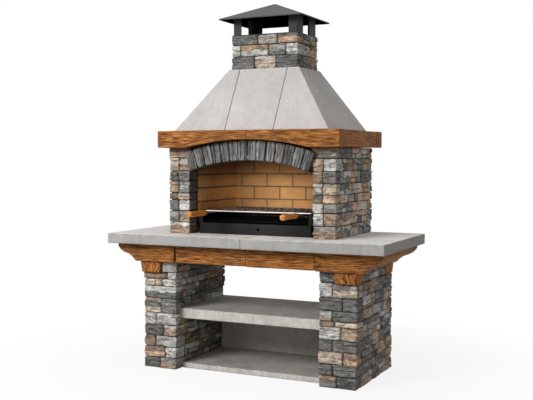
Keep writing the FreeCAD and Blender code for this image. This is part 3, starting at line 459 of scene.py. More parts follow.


# painted light on the sides of slabs: darker worktop edges, lighter edges on shelf and floor
pale_concrete = cement("pale_cast_concrete", "#E0DDD8", "#EBE8E3", "#F2F0EB", skin=0.64, mottle=0.1)
cast_concrete = cement("cast_concrete", "#C5C1BE", "#CECAC7", "#D5D1CE", mottle=0.07)
grey_concrete = cement("grey_cast_concrete", "#A5A09A", "#B5B1AB", "#C0BCB6", skin=1.72, mottle=0.15)
panel_concrete = cement("smooth_panel_concrete", "#AEA9A3", "#BFBBB5", "#CAC6C0", mottle=0.1)
# painted shade: the lintel, shaded under the arch, is given a near-black cement
lintel_shade_concrete = cement("lintel_shade_concrete", "#2A2622", "#38322C", "#463F37", worn=False)

# %% slabs
SLAB_SOFT = 0.004
SLAB_STEP = 0.012
SLAB_WAVES = ((0.0006, 0.12, 0.05), (0.0004, 0.03, 0.02))
EDGE_WEAR = 0.010
EDGE_LEVELS = np.array([0, 0.005, 0.0075, EDGE_WEAR])
EDGE_MARGIN = 0.015
WEAR_DEPTH = 0.001
WEAR_SHADE = 0.3
SLABS = [(pale_concrete, ("worktop_left", "worktop_right")), (grey_concrete, ("shelf_slab", "floor_slab")),
         (panel_concrete, ("rear_panel", "rear_wall_panel"))]


def worn_slab(low, high, seed):
    """A slab with chipped, darkened arrises: wear w = 1 - d / 10 mm at the distance d from an edge.

    The edge stands back by up to 1 mm * w and its shade falls by up to 0.3 w, both times noises of 40 and
    13 mm along the edge.
    """
    def fade(u, v):
        deep = np.clip(1 - np.minimum(high[2] - v, v - low[2]) / EDGE_WEAR, 0, 1)
        chips = 0.4 + 0.3 * noise_along(u, 0.04, seed) + noise_along(u, 0.013, seed + 1)
        return deep * np.clip(chips, 0, 1)

    def uneven(u, v):
        return waves(u, v) - WEAR_DEPTH * fade(u, v)

    waves = relief_of(*SLAB_WAVES, seed=seed)
    between = np.linspace(low[2] + EDGE_MARGIN, high[2] - EDGE_MARGIN, 4)
    stations = np.unique(np.concatenate([low[2] + EDGE_LEVELS, between, high[2] - EDGE_LEVELS]))
    parts = [max(1, int((high[way] - low[way]) / SLAB_STEP)) for way in (0, 1)] * 2
    plan = rectangle(low[:2], high[:2], len(stations))
    loft = sweep(2, stations, plan, SLAB_SOFT, parts, relief=uneven, grain="around")
    points, uv = loft["points"], loft["uv"]
    worn = fade(uv[:, :-1, 0], points[..., 2])
    middle = (low + high) / 2
    inset = np.array([1, 1, 0]) * EDGE_WEAR / (middle - low)
    lids = points[[0, -1]] - inset * (points[[0, -1]] - middle)
    shade = np.pad(1 - WEAR_SHADE * worn, ((1, 1), (0, 0)), constant_values=1.0)
    return {"points": np.concatenate([lids[:1], points, lids[1:]]),
            "uv": np.concatenate([uv[:1], uv, uv[-1:]]), "tint": np.repeat(shade[..., None], 3, 2)}


for finish, nodes in SLABS:
    for node in nodes:
        make_piece(f"cast_{node}", [worn_slab(*node_box(node), len(node))], finish, [node])

# %% [markdown]
# ## The hood
# Four castings lean against each other: a shell on each side that wraps round two hips, and a panel at the
# front and back. Each is its plan outline carried upwards while it shrinks, so hips stay straight and the two
# joints on the front show as fine grooves between softened edges.

# %% hood castings
HOOD_LOW, HOOD_HIGH = node_box("hood_left")
HOOD_LEVELS = 12
HOOD_TOP_HALF = 0.247
HOOD_TOP_Y = (-0.064, 0.289)
HOOD_WALL = (0.045, 0.078)
HOOD_SOFT = 0.003
SEAM = -HOOD_HIGH[0]
OPEN_SEAM = 0.002
LEAST_SHELL = 0.001
levels = np.linspace(HOOD_LOW[2], HOOD_HIGH[2], HOOD_LEVELS)
rising = (levels - levels[0]) / (levels[-1] - levels[0])
front = HOOD_LOW[1] + rising * (HOOD_TOP_Y[0] - HOOD_LOW[1])
back = HOOD_HIGH[1] + rising * (HOOD_TOP_Y[1] - HOOD_HIGH[1])
half = -HOOD_LOW[0] + rising * (HOOD_TOP_HALF + HOOD_LOW[0])
wall = HOOD_WALL[0] + rising * (HOOD_WALL[1] - HOOD_WALL[0])
seam = SEAM + OPEN_SEAM
inside = np.maximum(half - wall, seam + LEAST_SHELL)
shell = outline(HOOD_LEVELS, (seam, front), (half, front), (half, back), (seam, back), (seam, back - wall),
                (inside, back - wall), (inside, front + wall), (seam, front + wall))
edge = SEAM - OPEN_SEAM
HOOD = {"hood_right": shell, "hood_left": shell[:, ::-1] * (-1, 1),
        "hood_front_panel": outline(HOOD_LEVELS, (-edge, front), (edge, front), (edge, front + wall),
                                    (-edge, front + wall)),
        "hood_back_panel": outline(HOOD_LEVELS, (-edge, back - wall), (edge, back - wall), (edge, back),
                                   (-edge, back))}
for node, corners in HOOD.items():
    loft = sweep(2, levels, corners, HOOD_SOFT, [4] * corners.shape[1], grain="around")
    make_piece(f"cast_{node}", [loft], cast_concrete, [node], crease=30)

# %% [markdown]
# ## Split stone
# The veneer is split stone in eight shades, laid in courses with thin open joints. A split face is not
# random: it breaks along the beds of the stone, so it shows two to four layers that step in and out, a dark
# line between them, and rounded, chipped arrises. Sculpting more than 300 stones by hand is out of the
# question, and a displacement texture would lose the layers. So each stone's face is a grid whose rows follow
# its wandering beds, and every layer gets its own depth and shade. Painted shade darkens the lines between
# layers, the rounded arrises and the hollows of the relief, and painted light brightens the blocks that stand
# out. The finish adds blotches, rust and ash stains, hair cracks painted dark as shade, and grit.

# %% stone finish
split_stone, tree = new_finish("split_stone")
grain = add(tree, "ShaderNodeUVMap", uv_map="grain").outputs[0]
tone = add(tree, "ShaderNodeAttribute", attribute_name="tint").outputs["Color"]
flat = add(tree, "ShaderNodeMapping", {"Vector": grain, "Scale": (0.75, 2.2, 1)}).outputs[0]
blotch = add(tree, "ShaderNodeTexNoise", {"Vector": flat, "Scale": per_mm(32), "Detail": 7,
                                          "Roughness": 0.66, "Distortion": 0.5}).outputs["Fac"]
light = add(tree, "ShaderNodeMapRange", {"Value": blotch, "From Min": 0.38, "From Max": 0.62, "To Min": 0.9,
                                         "To Max": 1.3}).outputs[0]
mottled = add(tree, "ShaderNodeMix", {0: 1.0, 6: tone, 7: light}, **TIMES).outputs[2]
seep = add(tree, "ShaderNodeTexNoise", {"Vector": flat, "Scale": per_mm(95), "Detail": 6,
                                        "Roughness": 0.7}).outputs
rusty = add(tree, "ShaderNodeMapRange", {"Value": seep["Fac"], "From Min": 0.56, "From Max": 0.70,
                                         "To Min": 0.0, "To Max": 0.4}).outputs[0]
stained = add(tree, "ShaderNodeMix", {0: rusty, 6: mottled, 7: (*linear("#A88B6E"), 1)}, **BLEND).outputs[2]
other = add(tree, "ShaderNodeSeparateColor", {0: seep["Color"]}).outputs[1]
ashen = add(tree, "ShaderNodeMapRange", {"Value": other, "From Min": 0.48, "From Max": 0.62, "To Min": 0.0,
                                         "To Max": 0.5}).outputs[0]
greyed = add(tree, "ShaderNodeMix", {0: ashen, 6: stained, 7: (*linear("#8C8883"), 1)}, **BLEND).outputs[2]
# painted shade: thin dark hair cracks along the middle of a 75 mm noise
vein = add(tree, "ShaderNodeTexNoise", {"Vector": flat, "Scale": per_mm(75), "Detail": 4, "Roughness": 0.55,
                                        "Distortion": 0.6}).outputs["Fac"]
middle = add(tree, "ShaderNodeMath", {0: vein, 1: 0.5}, operation="SUBTRACT").outputs[0]
away = add(tree, "ShaderNodeMath", {0: middle}, operation="ABSOLUTE").outputs[0]
crack_shade = add(tree, "ShaderNodeMapRange", {"Value": away, "From Min": 0.001, "From Max": 0.018, "To Min": 0.54,
                                         "To Max": 1.0}, interpolation_type="SMOOTHSTEP").outputs[0]
grit = add(tree, "ShaderNodeTexNoise", {"Vector": flat, "Scale": per_mm(11), "Detail": 4,
                                        "Roughness": 0.7}).outputs["Fac"]
gritty = add(tree, "ShaderNodeMapRange", {"Value": grit, "From Min": 0.34, "From Max": 0.66, "To Min": 0.7,
                                          "To Max": 1.26}).outputs[0]
rough = add(tree, "ShaderNodeMath", {0: crack_shade, 1: gritty}, operation="MULTIPLY").outputs[0]
crack_shaded = add(tree, "ShaderNodeMix", {0: 1.0, 6: greyed, 7: rough}, **TIMES).outputs[2]
chips = add(tree, "ShaderNodeMath", {0: grit, 1: 0.45, 2: crack_shade}, operation="MULTIPLY_ADD").outputs[0]
height = add(tree, "ShaderNodeMath", {0: blotch, 1: 1.2, 2: chips}, operation="MULTIPLY_ADD").outputs[0]
bump = add(tree, "ShaderNodeBump", {"Height": height, "Strength": 1.0, "Distance": 0.007}).outputs[0]
shader = add(tree, "ShaderNodeBsdfPrincipled", {"Base Color": crack_shaded, "Roughness": 0.86, "IOR": 1.5,
                                                "Specular IOR Level": 0.35, "Normal": bump})
add(tree, "ShaderNodeOutputMaterial", {"Surface": shader.outputs[0]})
print(split_stone.name, len(tree.nodes), "nodes")

# %% one split face
STONE_ROUND = 0.007
STONE_CORNER = 0.017
BED_WANDER = 0.055
LAYER_STEP = 0.005
BREAK_SIZE = 0.045
BREAK_STEP = 0.0025
GROOVE_DEPTH = (0.003, 0.006)
GROOVE_LENGTH = 0.04
CRAG_DEPTH = 0.004
RELIEF_RANGE = (-0.009, 0.003)
# where the rows of a layer lie, as shares of its height
LOWEST_ROWS = [0.0, 0.06, 0.16, 0.36, 0.62, 0.86]
OTHER_ROWS = [0.14, 0.36, 0.62, 0.86]
TOP_ROWS = [0.84, 0.94, 1.0]


def split_face(run, height, chance, layer, dark=0.65, tones=(0.88, 1.22), gape=0.6, rim=0.4):
    """Level, relief and shade over a face whose rows follow its wandering beds, and the layer of each row.

    A bed wanders by a third of the thinner layer beside it times noise(s / 55 mm). Each layer stands back by
    its own depth plus 2.5 mm * tanh(3 noise), which breaks it into blocks, and painted light makes the blocks
    that stand out a little lighter. The line between two layers is a groove that opens and closes along the
    stone, with painted shade in it. The border is a rectangle with rounded corners, and at the distance e < r
    from it the arris falls by r - sqrt(r^2 - (r - e)^2) and gets painted shade. The hollows of the crag
    relief get painted shade too.
    """
    count = max(1, round(height / chance.uniform(*layer)))
    thick = chance.uniform(0.5, 1.5, count)
    thick = thick / thick.sum() * height
    reach = np.zeros(count + 1)
    reach[1:-1] = 0.36 * np.minimum(thick[:-1], thick[1:])
    seed = int(chance.integers(1, 100000))
    wander = np.stack([noise_along(run, BED_WANDER, seed + bed) for bed in range(count + 1)], -1)
    beds = np.concatenate([[0], np.cumsum(thick)]) + reach * wander
    stand = -chance.uniform(0, LAYER_STEP, count)
    rows = []
    for place in range(count):
        low, high = beds[:, place], beds[:, place + 1]
        broken = np.tanh(3 * noise_along(run, BREAK_SIZE, seed + 31 + place))
        depth = stand[place] + BREAK_STEP * broken
        # painted light: blocks that stand out are a little lighter
        tone = chance.uniform(*tones) * (1 + 0.14 * broken)
        shares = OTHER_ROWS if place else LOWEST_ROWS
        if place == count - 1:
            shares = shares[:-1] + TOP_ROWS
        rows += [(low + share * (high - low), depth, tone, place) for share in shares]
        if place < count - 1:
            opening = np.clip(gape + 1.2 * noise_along(run, GROOVE_LENGTH, seed + 57 + place), 0, 1)
            groove = depth - chance.uniform(*GROOVE_DEPTH) * opening
            # painted shade in the groove between two layers
            rows.append((high, groove, tone * (1 - dark * opening), place))
    *grids, layers = zip(*rows)
    level, relief, shade = (np.stack(grid, -1) for grid in grids)
    across = np.repeat(run[:, None], level.shape[1], 1)
    where = np.stack([0.8 * across, 1.8 * level, np.full_like(level, seed % 97)], -1)
    crag = 0.6 * lattice_noise(where, 0.026, seed) + 0.7 * lattice_noise(where, 0.014, seed + 7)
    relief = relief + CRAG_DEPTH * crag + chance.uniform(-0.002, 0.001)
    inset = np.stack([np.minimum(level, height - level), np.minimum(across - run[0], run[-1] - across)], -1)
    rounded = STONE_CORNER - np.linalg.norm(np.clip(STONE_CORNER - inset, 0, None), axis=-1)
    border = np.maximum(np.where((inset < STONE_CORNER).all(-1), rounded, inset.min(-1)), 0)
    bend = STONE_ROUND * (1 + 0.7 * lattice_noise(where, 0.022, seed + 13))
    fall = np.clip(1 - border / bend, 0, 1)
    relief = np.clip(relief, *RELIEF_RANGE) - bend * (1 - np.sqrt(1 - fall ** 2))
    # painted shade: darker in the hollows of the crag relief and on the rounded arris
    shade = shade * np.clip(1 + 0.4 * crag, 0.5, 1.5) * (1 - rim * fall ** 2)
    return level, relief, shade, np.array(layers)


def face_map(run, level, height, shift):
    """Map of a stone's ring in metres: along the bed, and up across it from one back edge to the other."""
    count = len(run)
    across = np.concatenate([np.full((count, 1), -0.03), level, np.full((count, 1), height + 0.03),
                             np.full((count, 1), height + 0.06)], 1)
    return np.stack([np.repeat(run[:, None], across.shape[1], 1), across], -1) + shift


print("rows of a face with one layer", len(LOWEST_ROWS[:-1] + TOP_ROWS))

# %% [markdown]
# The CAD nodes hold many stones each. Their loose triangles are joined by shared corners, which gives the
# corners of every single stone. From those follow the wall that it belongs to and the path of its outer face:
# straight, or round one or two corners of the leg.

# %% stones out of a node
def islands(node):
    """Corner points of each separate solid of a node, by spreading the lowest label over shared corners."""
    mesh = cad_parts[node].data
    points = np.empty(len(mesh.vertices) * 3)
    mesh.vertices.foreach_get("co", points)
    keys, label = np.unique(np.round(points.reshape(-1, 3), 5), axis=0, return_inverse=True)
    mesh.calc_loop_triangles()
    faces = np.empty(len(mesh.loop_triangles) * 3, np.int32)
    mesh.loop_triangles.foreach_get("vertices", faces)
    faces = label.ravel()[faces].reshape(-1, 3)
    group = np.arange(len(keys))
    while True:
        lowest = group[faces].min(1)
        spread = group.copy()
        for corner in range(3):
            np.minimum.at(spread, faces[:, corner], lowest)
        if (spread == group).all():
            break
        group = spread
    return [keys[group == one] for one in np.unique(group)]


print("stones of the right leg", len(islands("right_leg_stones")))

# %% outer faces
CORNER_ROUND = 0.010
STONE_REACH = 0.0008
END_MARKS = [0.0025, 0.006]
BACK_GAP = 0.001
FAN_WIDTH = 0.0008
NEAR = 0.002


def face_path(corners, depth, step):
    """Stations along an outer face in plan: points, normals, points at the back, and the distance run.

    A run is divided evenly, with two extra stations at a free end for its round arris. At a corner between
    normals n and m the face turns on a quarter circle, c + r (n cos a + m sin a). Both ends reach a little
    into the joint, as hand-set stones do.
    """
    corners = np.array(corners)
    way = np.diff(corners, axis=0)
    way = way / np.linalg.norm(way, axis=1)[:, None]
    corners[0] -= STONE_REACH * way[0]
    corners[-1] += STONE_REACH * way[-1]
    length = np.linalg.norm(np.diff(corners, axis=0), axis=1)
    normal = np.stack([way[:, 1], -way[:, 0]], -1)
    outer, facing, inner = [], [], []
    last = len(way) - 1
    for run in range(len(way)):
        turns = np.array([run > 0, run < last], float)
        first, final = CORNER_ROUND * turns
        start, stop = (depth + BACK_GAP) * turns
        marks = np.linspace(first, length[run] - final, max(4, int(length[run] / step) + 1))
        ends = [] if turns[0] else END_MARKS
        ends = ends if turns[1] else ends + [length[run] - mark for mark in END_MARKS]
        marks = np.unique(np.concatenate([marks, ends]))
        share = ((marks - marks[0]) / (marks[-1] - marks[0]))[:, None]
        behind = start + share * (length[run] - stop - start)
        outer.append(corners[run] + marks[:, None] * way[run])
        facing.append(np.repeat(normal[run][None], len(marks), 0))
        inner.append(corners[run] + behind * way[run] - depth * normal[run])
        if run < last:
            angle = np.radians([22.5, 45, 67.5])[:, None]
            turn = np.cos(angle) * normal[run] + np.sin(angle) * normal[run + 1]
            both = normal[run] + normal[run + 1]
            fan = FAN_WIDTH * np.array([-1, 0, 1])[:, None] * (way[run] + way[run + 1]) / 2
            outer.append(corners[run + 1] - CORNER_ROUND * both + CORNER_ROUND * turn)
            facing.append(turn)
            inner.append(corners[run + 1] - depth * both + fan)
    outer, facing, inner = (np.concatenate(part) for part in (outer, facing, inner))
    run = np.concatenate([[0], np.cumsum(np.linalg.norm(np.diff(outer, axis=0), axis=1))])
    return outer, facing, inner, run


def stone_face(corners, wall, depth):
    """The wall that a stone belongs to and the plan path of its outer face, from its corner points."""
    (west, front), (east, back) = wall
    x0, y0, x1, y1 = *corners[:, :2].min(0), *corners[:, :2].max(0)
    if y0 < front + NEAR:
        left = corners[corners[:, 0] < west + NEAR][:, 1]
        right = corners[corners[:, 0] > east - NEAR][:, 1]
        path = [(x0, y0), (x1, y0)]
        if len(left) and left.max() > y0 + depth + NEAR:
            path = [(x0, left.max())] + path
        if len(right) and right.max() > y0 + depth + NEAR:
            path = path + [(x1, right.max())]
        return "front", path
    if y1 > back - NEAR and y1 - y0 < depth + NEAR:
        turns = [(x1, y0)] if x1 > east - NEAR else []
        returns = [(x0, y0)] if x0 < west + NEAR else []
        return "back", turns + [(x1, y1), (x0, y1)] + returns
    if x0 < west + NEAR:
        return "left", [(x0, y1), (x0, y0)]
    return "right", [(x1, y0), (x1, y1)]


print("stations along 0.2 m", len(face_path([(0.0, 0.0), (0.2, 0.0)], 0.03, 0.007)[3]))

# %% [markdown]
# Stone shades are planned like a mason would: the fronts and right sides that face the viewer follow the
# photograph course by course, from the top down and from left to right, and the rest are drawn by lot. A plus
# sign means that a stone has layers of different shade, from its top down. The layers of sides and backs are
# broken once more into short stones, as a patchwork of the planned shades and others.

# %% shades and plan
SHADES = {"slate": "#777673", "grey": "#A2A19C", "pale": "#DCD9D2", "tan": "#CDB095", "cream": "#D9C6B0",
          "brown": "#A48C77", "rust": "#C0A083", "ivory": "#CFC6BC"}
LOT = (["slate"] * 6 + ["grey"] * 7 + ["brown"] * 6 + ["tan"] * 4 + ["pale"] * 4 + ["cream"] + ["rust"] * 2)
TWO_SHADES = 0.45
# painted light: brightness of front stones and of the others, per node; the shaded inner side of the left
# leg is painted darker and the right sides, in half shade, lighter
PAINTED_LIGHT_LIFT = {"left_leg_stones": (1.0, 0.74), "right_leg_stones": (1.05, 1.6), "left_cheek_stones": (0.98, 1.0),
        "right_cheek_stones": (1.12, 1.58), "chimney_stones": (1.02, 1.66)}
PLANS = {
    ("left_leg_stones", "front"):
        "pale | brown, pale | cream, cream, pale | pale+slate | tan+slate+cream, grey | pale, pale "
        "| slate, pale+tan | brown, pale | brown+tan, pale | slate, rust+grey+brown",
    ("right_leg_stones", "front"):
        "slate | pale, grey+cream+cream | slate, slate | pale+tan, slate | brown, cream | pale, tan "
        "| slate, slate | cream, brown+tan | slate, slate | rust+grey, slate",
    ("left_cheek_stones", "front"):
        "brown+tan | ivory+tan, ivory+tan | slate, grey | tan, grey | slate+brown, ivory+tan "
        "| slate, pale | grey+slate, grey+tan | pale+brown",
    ("right_cheek_stones", "front"):
        "brown+grey | tan, pale | brown, slate | ivory, cream | slate+brown, tan | pale, grey "
        "| pale, brown | grey+brown",
    ("chimney_stones", "front"):
        "slate, ivory, slate+tan | pale, rust+pale, grey+slate, pale | slate, ivory+cream, slate",
    ("right_leg_stones", "right"):
        "grey, slate, slate | brown, cream+tan, slate | pale+tan, slate, cream | slate, grey+tan, grey "
        "| grey, slate, tan | grey, grey+tan, slate | grey+tan, slate | grey, slate, tan "
        "| tan+grey, slate, brown | grey+tan, slate, tan",
    ("right_cheek_stones", "right"):
        "slate, grey, tan+grey | tan+brown, slate, tan | grey, grey+rust, slate "
        "| slate, pale+grey, brown+tan | tan, slate, grey+tan | slate, tan, brown "
        "| brown, slate, grey+tan | tan+grey, grey, slate",
    ("chimney_stones", "right"):
        "slate, grey+tan | grey, slate | slate, tan",
}


def planned(node, side, course, place):
    """The kinds of the stone at that place of a course, or nothing where the plan leaves it to the lot."""
    if (node, side) not in PLANS:
        return []
    stones = PLANS[node, side].split("|")[course].split(",")
    return stones[place].strip().split("+") if place < len(stones) else []


print(len(SHADES), "shades and", len(PLANS), "planned faces")

# %% dressed stones
VENEER = 0.030
STONE_STEP = 0.007
STONE_GROWTH = (-0.0005, 0.0022)
FRONT_SPLIT = {"layer": (0.018, 0.036)}
SIDE_SPLIT = {"layer": (0.028, 0.045), "dark": 0.97, "gape": 1.2}
SHORT_STONE = 0.10
BREAK_WIDTH = 0.005
BREAK_DEPTH = 0.003
BREAK_SHADE = 0.9
# painted shade on the back edges of each stone, in the joints
BACK_SHADE = 0.3
# painted shade on the inner returns of the cheeks
PAINTED_INSIDE_SHADE = 0.25


def patchwork(run, layer, kinds, relief, shade, chance):
    """Colours of a face whose layers are each broken into short stones, half of them of the planned kinds.

    A break at b lowers the relief by 3 mm and paints shade into the groove, darkening it by 0.9, both times
    exp(-((s - b) / 5 mm)^2).
    """
    colours = np.empty(shade.shape + (3,))
    for place in range(layer.max() + 1):
        rows = layer == place
        wanted = int(chance.uniform(0.4, 1.3) * np.ptp(run) / SHORT_STONE)
        breaks = np.sort(run[0] + np.ptp(run) * chance.uniform(0.2, 0.8, wanted))
        names = [chance.choice(kinds if chance.random() < 0.5 else LOT) for _ in range(wanted + 1)]
        shades = np.stack([linear(SHADES[name]) * chance.uniform(0.5, 1.55) for name in names])
        colours[:, rows] = shades[np.searchsorted(breaks, run)][:, None]
        gap = np.minimum(np.exp(-((run[:, None] - breaks) / BREAK_WIDTH) ** 2).sum(1), 1)[:, None]
        relief[:, rows] -= BREAK_DEPTH * gap
        # painted shade in the groove at each break
        shade[:, rows] *= 1 - BREAK_SHADE * gap
    return colours


def dressed_stones(node, seed):
    """Lofts of a node's stones: for each station a ring of back, face rows from below, and back again."""
    chance = np.random.default_rng(seed)
    low, high = node_box(node)
    wall = (low[:2], high[:2])
    stones = sorted(islands(node), key=lambda one: (-round(one[:, 2].min(), 3), *one[:, :2].min(0)))
    faces = [stone_face(one, wall, VENEER) for one in stones]
    beds = {round(one[:, 2].min(), 3) for one, face in zip(stones, faces) if face[0] == "front"}
    placed = {}
    lofts = []
    for corners, (side, path) in zip(stones, faces):
        bottom, top = corners[:, 2].min(), corners[:, 2].max()
        kinds = chance.choice(LOT, 2 if chance.random() < TWO_SHADES else 1)
        course = sum(bed > bottom + NEAR for bed in beds)
        place = placed.get((side, course), 0)
        placed[side, course] = place + 1
        kinds = planned(node, side, course, place) or kinds
        below, above = chance.uniform(*STONE_GROWTH, 2)
        bottom, top = max(bottom - below, low[2]), min(top + above, high[2])
        depth = min(VENEER, 0.9 * np.ptp(corners[:, :2], axis=0).min())
        outer, facing, inner, run = face_path(path, depth, STONE_STEP)
        split = FRONT_SPLIT if side == "front" else SIDE_SPLIT
        level, relief, shade, layer = split_face(run, top - bottom, chance, **split)
        colours = np.stack([linear(SHADES[kind]) for kind in kinds[::-1]]) * chance.uniform(0.84, 1.16)
        # painted light: fronts and other faces get their own brightness
        if side == "front":
            colours = PAINTED_LIGHT_LIFT[node][0] * colours[layer * len(kinds) // (layer.max() + 1)][None]
        else:
            colours = PAINTED_LIGHT_LIFT[node][1] * patchwork(run, layer, kinds, relief, shade, chance)
        points = np.empty((len(run), level.shape[1] + 2, 3))
        points[:, 1:-1, :2] = outer[:, None] + facing[:, None] * relief[..., None]
        points[:, 1:-1, 2] = bottom + level
        points[:, [0, -1], :2] = inner[:, None]
        points[:, [0, -1], 2] = bottom, top
        tint = np.empty_like(points)
        tint[:, 1:-1] = colours * shade[..., None]
        # painted shade: the back edges in the joints are darkened to 0.3 of the face
        tint[:, [0, -1]] = BACK_SHADE * tint[:, [1, -2]]
        # painted shade: the cheeks' inner returns, which face the hearth, darken to a quarter
        if node.endswith("cheek_stones"):
            inward = -np.sign(low[0] + high[0]) * facing[:, 0]
            tint *= np.interp(inward, [0.3, 0.9], [1.0, PAINTED_INSIDE_SHADE])[:, None, None]
        tint = tint / np.maximum(tint.max(-1, keepdims=True), 1)
        grain = face_map(run, level, top - bottom, chance.uniform(0, 40, 2))
        lofts.append({"points": points, "uv": grain, "tint": tint})
    print(node, len(lofts), "stones in", len(beds), "courses")
    return lofts


for place, node in enumerate(PAINTED_LIGHT_LIFT):
    make_piece(f"split_{node}", dressed_stones(node, 40 + place), split_stone, [node], crease=60)

# %% [markdown]
# ## The arch
# A row of slate wedges stands on edge over the opening. They are the same split stone, but their beds point
# to the middle of the arch, so the face's rows run along the radius and the layers lie side by side.

# %% voussoirs
ARCH_CENTRE = 0.0994
WEDGE = linear("#8C8B89")
# painted shade: deep dark grooves between the layers and dark arrises on every wedge
WEDGE_SPLIT = {"layer": (0.016, 0.026), "dark": 1.0, "tones": (0.58, 1.32), "gape": 1.4, "rim": 0.95}
WEDGE_END = 0.012
WEDGE_STATIONS = 14
WEDGE_BACK_SHADE = 0.4
PALE_WEDGE = 10
PALER = 1.6


def wedges():
    """Lofts of the arch stones: x = r sin a, z = centre + r cos a, with the split face towards -Y."""
    chance = np.random.default_rng(91)
    marks = np.array([0] + END_MARKS)
    lofts = []
    for place, corners in enumerate(sorted(islands("arch_voussoirs"), key=lambda one: one[:, 0].mean())):
        radius = np.hypot(corners[:, 0], corners[:, 2] - ARCH_CENTRE)
        angle = np.arctan2(corners[:, 0], corners[:, 2] - ARCH_CENTRE)
        between = np.linspace(radius.min() + WEDGE_END, radius.max() - WEDGE_END, WEDGE_STATIONS)
        run = np.concatenate([radius.min() + marks, between, radius.max() - marks[::-1]])
        width = np.ptp(angle) * radius.mean()
        level, relief, shade, _ = split_face(run, width, chance, **WEDGE_SPLIT)
        turn = angle.min() + level / width * np.ptp(angle)
        spread = np.concatenate([turn[:, :1], turn, turn[:, -1:]], 1)
        points = np.empty(spread.shape + (3,))
        points[..., 0] = run[:, None] * np.sin(spread)
        points[..., 2] = ARCH_CENTRE + run[:, None] * np.cos(spread)
        points[:, 1:-1, 1] = corners[:, 1].min() - relief
        points[:, [0, -1], 1] = corners[:, 1].max()
        colour = WEDGE * chance.uniform(0.85, 1.15) * (PALER if place == PALE_WEDGE else 1.0)
        tint = np.empty_like(points)
        tint[:, 1:-1] = colour * shade[..., None]
        # painted shade on the back edges of the wedges, in the joints
        tint[:, [0, -1]] = WEDGE_BACK_SHADE * colour
        grain = face_map(0.6 * run, 1.4 * level, 1.4 * width, chance.uniform(0, 40, 2))
        lofts.append({"points": points, "uv": grain, "tint": np.clip(tint, 0, 1)})
    print(len(lofts), "wedges")
    return lofts


make_piece("split_arch_voussoirs", wedges(), split_stone, ["arch_voussoirs"], crease=50)

# %% [markdown]
# ## Stained timber
# Beams, fascia, mantel and blocks are stained softwood with an open, brushed grain. The eye sees a warm
# orange brown, long dark lines that swing round a few knots, and slightly uneven hewn faces. The colour reads
# the piece's own map, in metres, with its first direction along the grain, so that the figure turns with
# each beam. Real growth rings here are 3 to 6 mm apart, too fine for a picture of the whole barbecue, so the
# lines are drawn about 13 mm apart. Knots lie in cells of 330 by 90 mm, the fibres are streaks of 120 by
# 7 mm, and the stain fades in patches of 220 by 45 mm.

# %% timber finish
LINE_GAP = 0.013
stained_timber, tree = new_finish("stained_timber")
grain = add(tree, "ShaderNodeUVMap", uv_map="grain").outputs[0]
cell = add(tree, "ShaderNodeMapping", {"Vector": grain, "Scale": (3.0, 11.0, 1)}).outputs[0]
knots = add(tree, "ShaderNodeTexVoronoi", {"Vector": cell, "Scale": 1.0}).outputs
near = add(tree, "ShaderNodeMapRange", {"Value": knots["Distance"], "From Min": 0.0, "From Max": 0.5,
                                        "To Min": 1.0, "To Max": 0.0},
           interpolation_type="SMOOTHSTEP").outputs[0]
some = add(tree, "ShaderNodeMath", {0: knots["Color"], 1: 0.5}, operation="LESS_THAN").outputs[0]
knot = add(tree, "ShaderNodeMath", {0: near, 1: some}, operation="MULTIPLY").outputs[0]
swing = add(tree, "ShaderNodeMapping", {"Vector": grain, "Scale": (3.2, 7.0, 1)}).outputs[0]
bend = add(tree, "ShaderNodeTexNoise", {"Vector": swing, "Scale": 1.0, "Detail": 2}).outputs["Fac"]
along, across, _ = add(tree, "ShaderNodeSeparateXYZ", {0: grain}).outputs
drift = add(tree, "ShaderNodeMath", {0: bend, 1: 0.05, 2: across}, operation="MULTIPLY_ADD").outputs[0]
swung = add(tree, "ShaderNodeMath", {0: knot, 1: 0.024, 2: drift}, operation="MULTIPLY_ADD").outputs[0]
bent = add(tree, "ShaderNodeCombineXYZ", {0: along, 1: swung}).outputs[0]
streaks = add(tree, "ShaderNodeMapping", {"Vector": bent, "Scale": (8.5, 145, 1)}).outputs[0]
fibre = add(tree, "ShaderNodeTexNoise", {"Vector": streaks, "Scale": 1.0, "Detail": 6,
                                         "Roughness": 0.76}).outputs["Fac"]
stain = add(tree, "ShaderNodeValToRGB", {"Fac": fibre},
            [(0.37, "#2C1505"), (0.45, "#824A1B"), (0.53, "#C07A37"), (0.65, "#E8AD6E")]).outputs["Color"]
phase = add(tree, "ShaderNodeMath", {0: swung, 1: 2 * math.pi / LINE_GAP}, operation="MULTIPLY").outputs[0]
wave = add(tree, "ShaderNodeMath", {0: phase}, operation="SINE").outputs[0]
line = add(tree, "ShaderNodeMapRange", {"Value": wave, "From Min": 0.2, "From Max": 1.0, "To Min": 0.0,
                                        "To Max": 0.55}, interpolation_type="SMOOTHSTEP").outputs[0]
faded = add(tree, "ShaderNodeMapping", {"Vector": grain, "Scale": (4.5, 22, 1)}).outputs[0]
patch = add(tree, "ShaderNodeTexNoise", {"Vector": faded, "Scale": 1.0, "Detail": 5,
                                         "Roughness": 0.65}).outputs["Fac"]
where = add(tree, "ShaderNodeMapRange", {"Value": patch, "From Min": 0.42, "From Max": 0.60, "To Min": 0.0,
                                         "To Max": 1.0}).outputs[0]
drawn = add(tree, "ShaderNodeMath", {0: line, 1: where}, operation="MULTIPLY").outputs[0]
heart = add(tree, "ShaderNodeMath", {0: knot, 1: 7.0}, operation="POWER").outputs[0]
dark = add(tree, "ShaderNodeMath", {0: heart, 1: 0.7, 2: drawn}, operation="MULTIPLY_ADD").outputs[0]
inked = add(tree, "ShaderNodeMix", {0: dark, 6: stain, 7: (*linear("#2A1507"), 1)}, **BLEND).outputs[2]
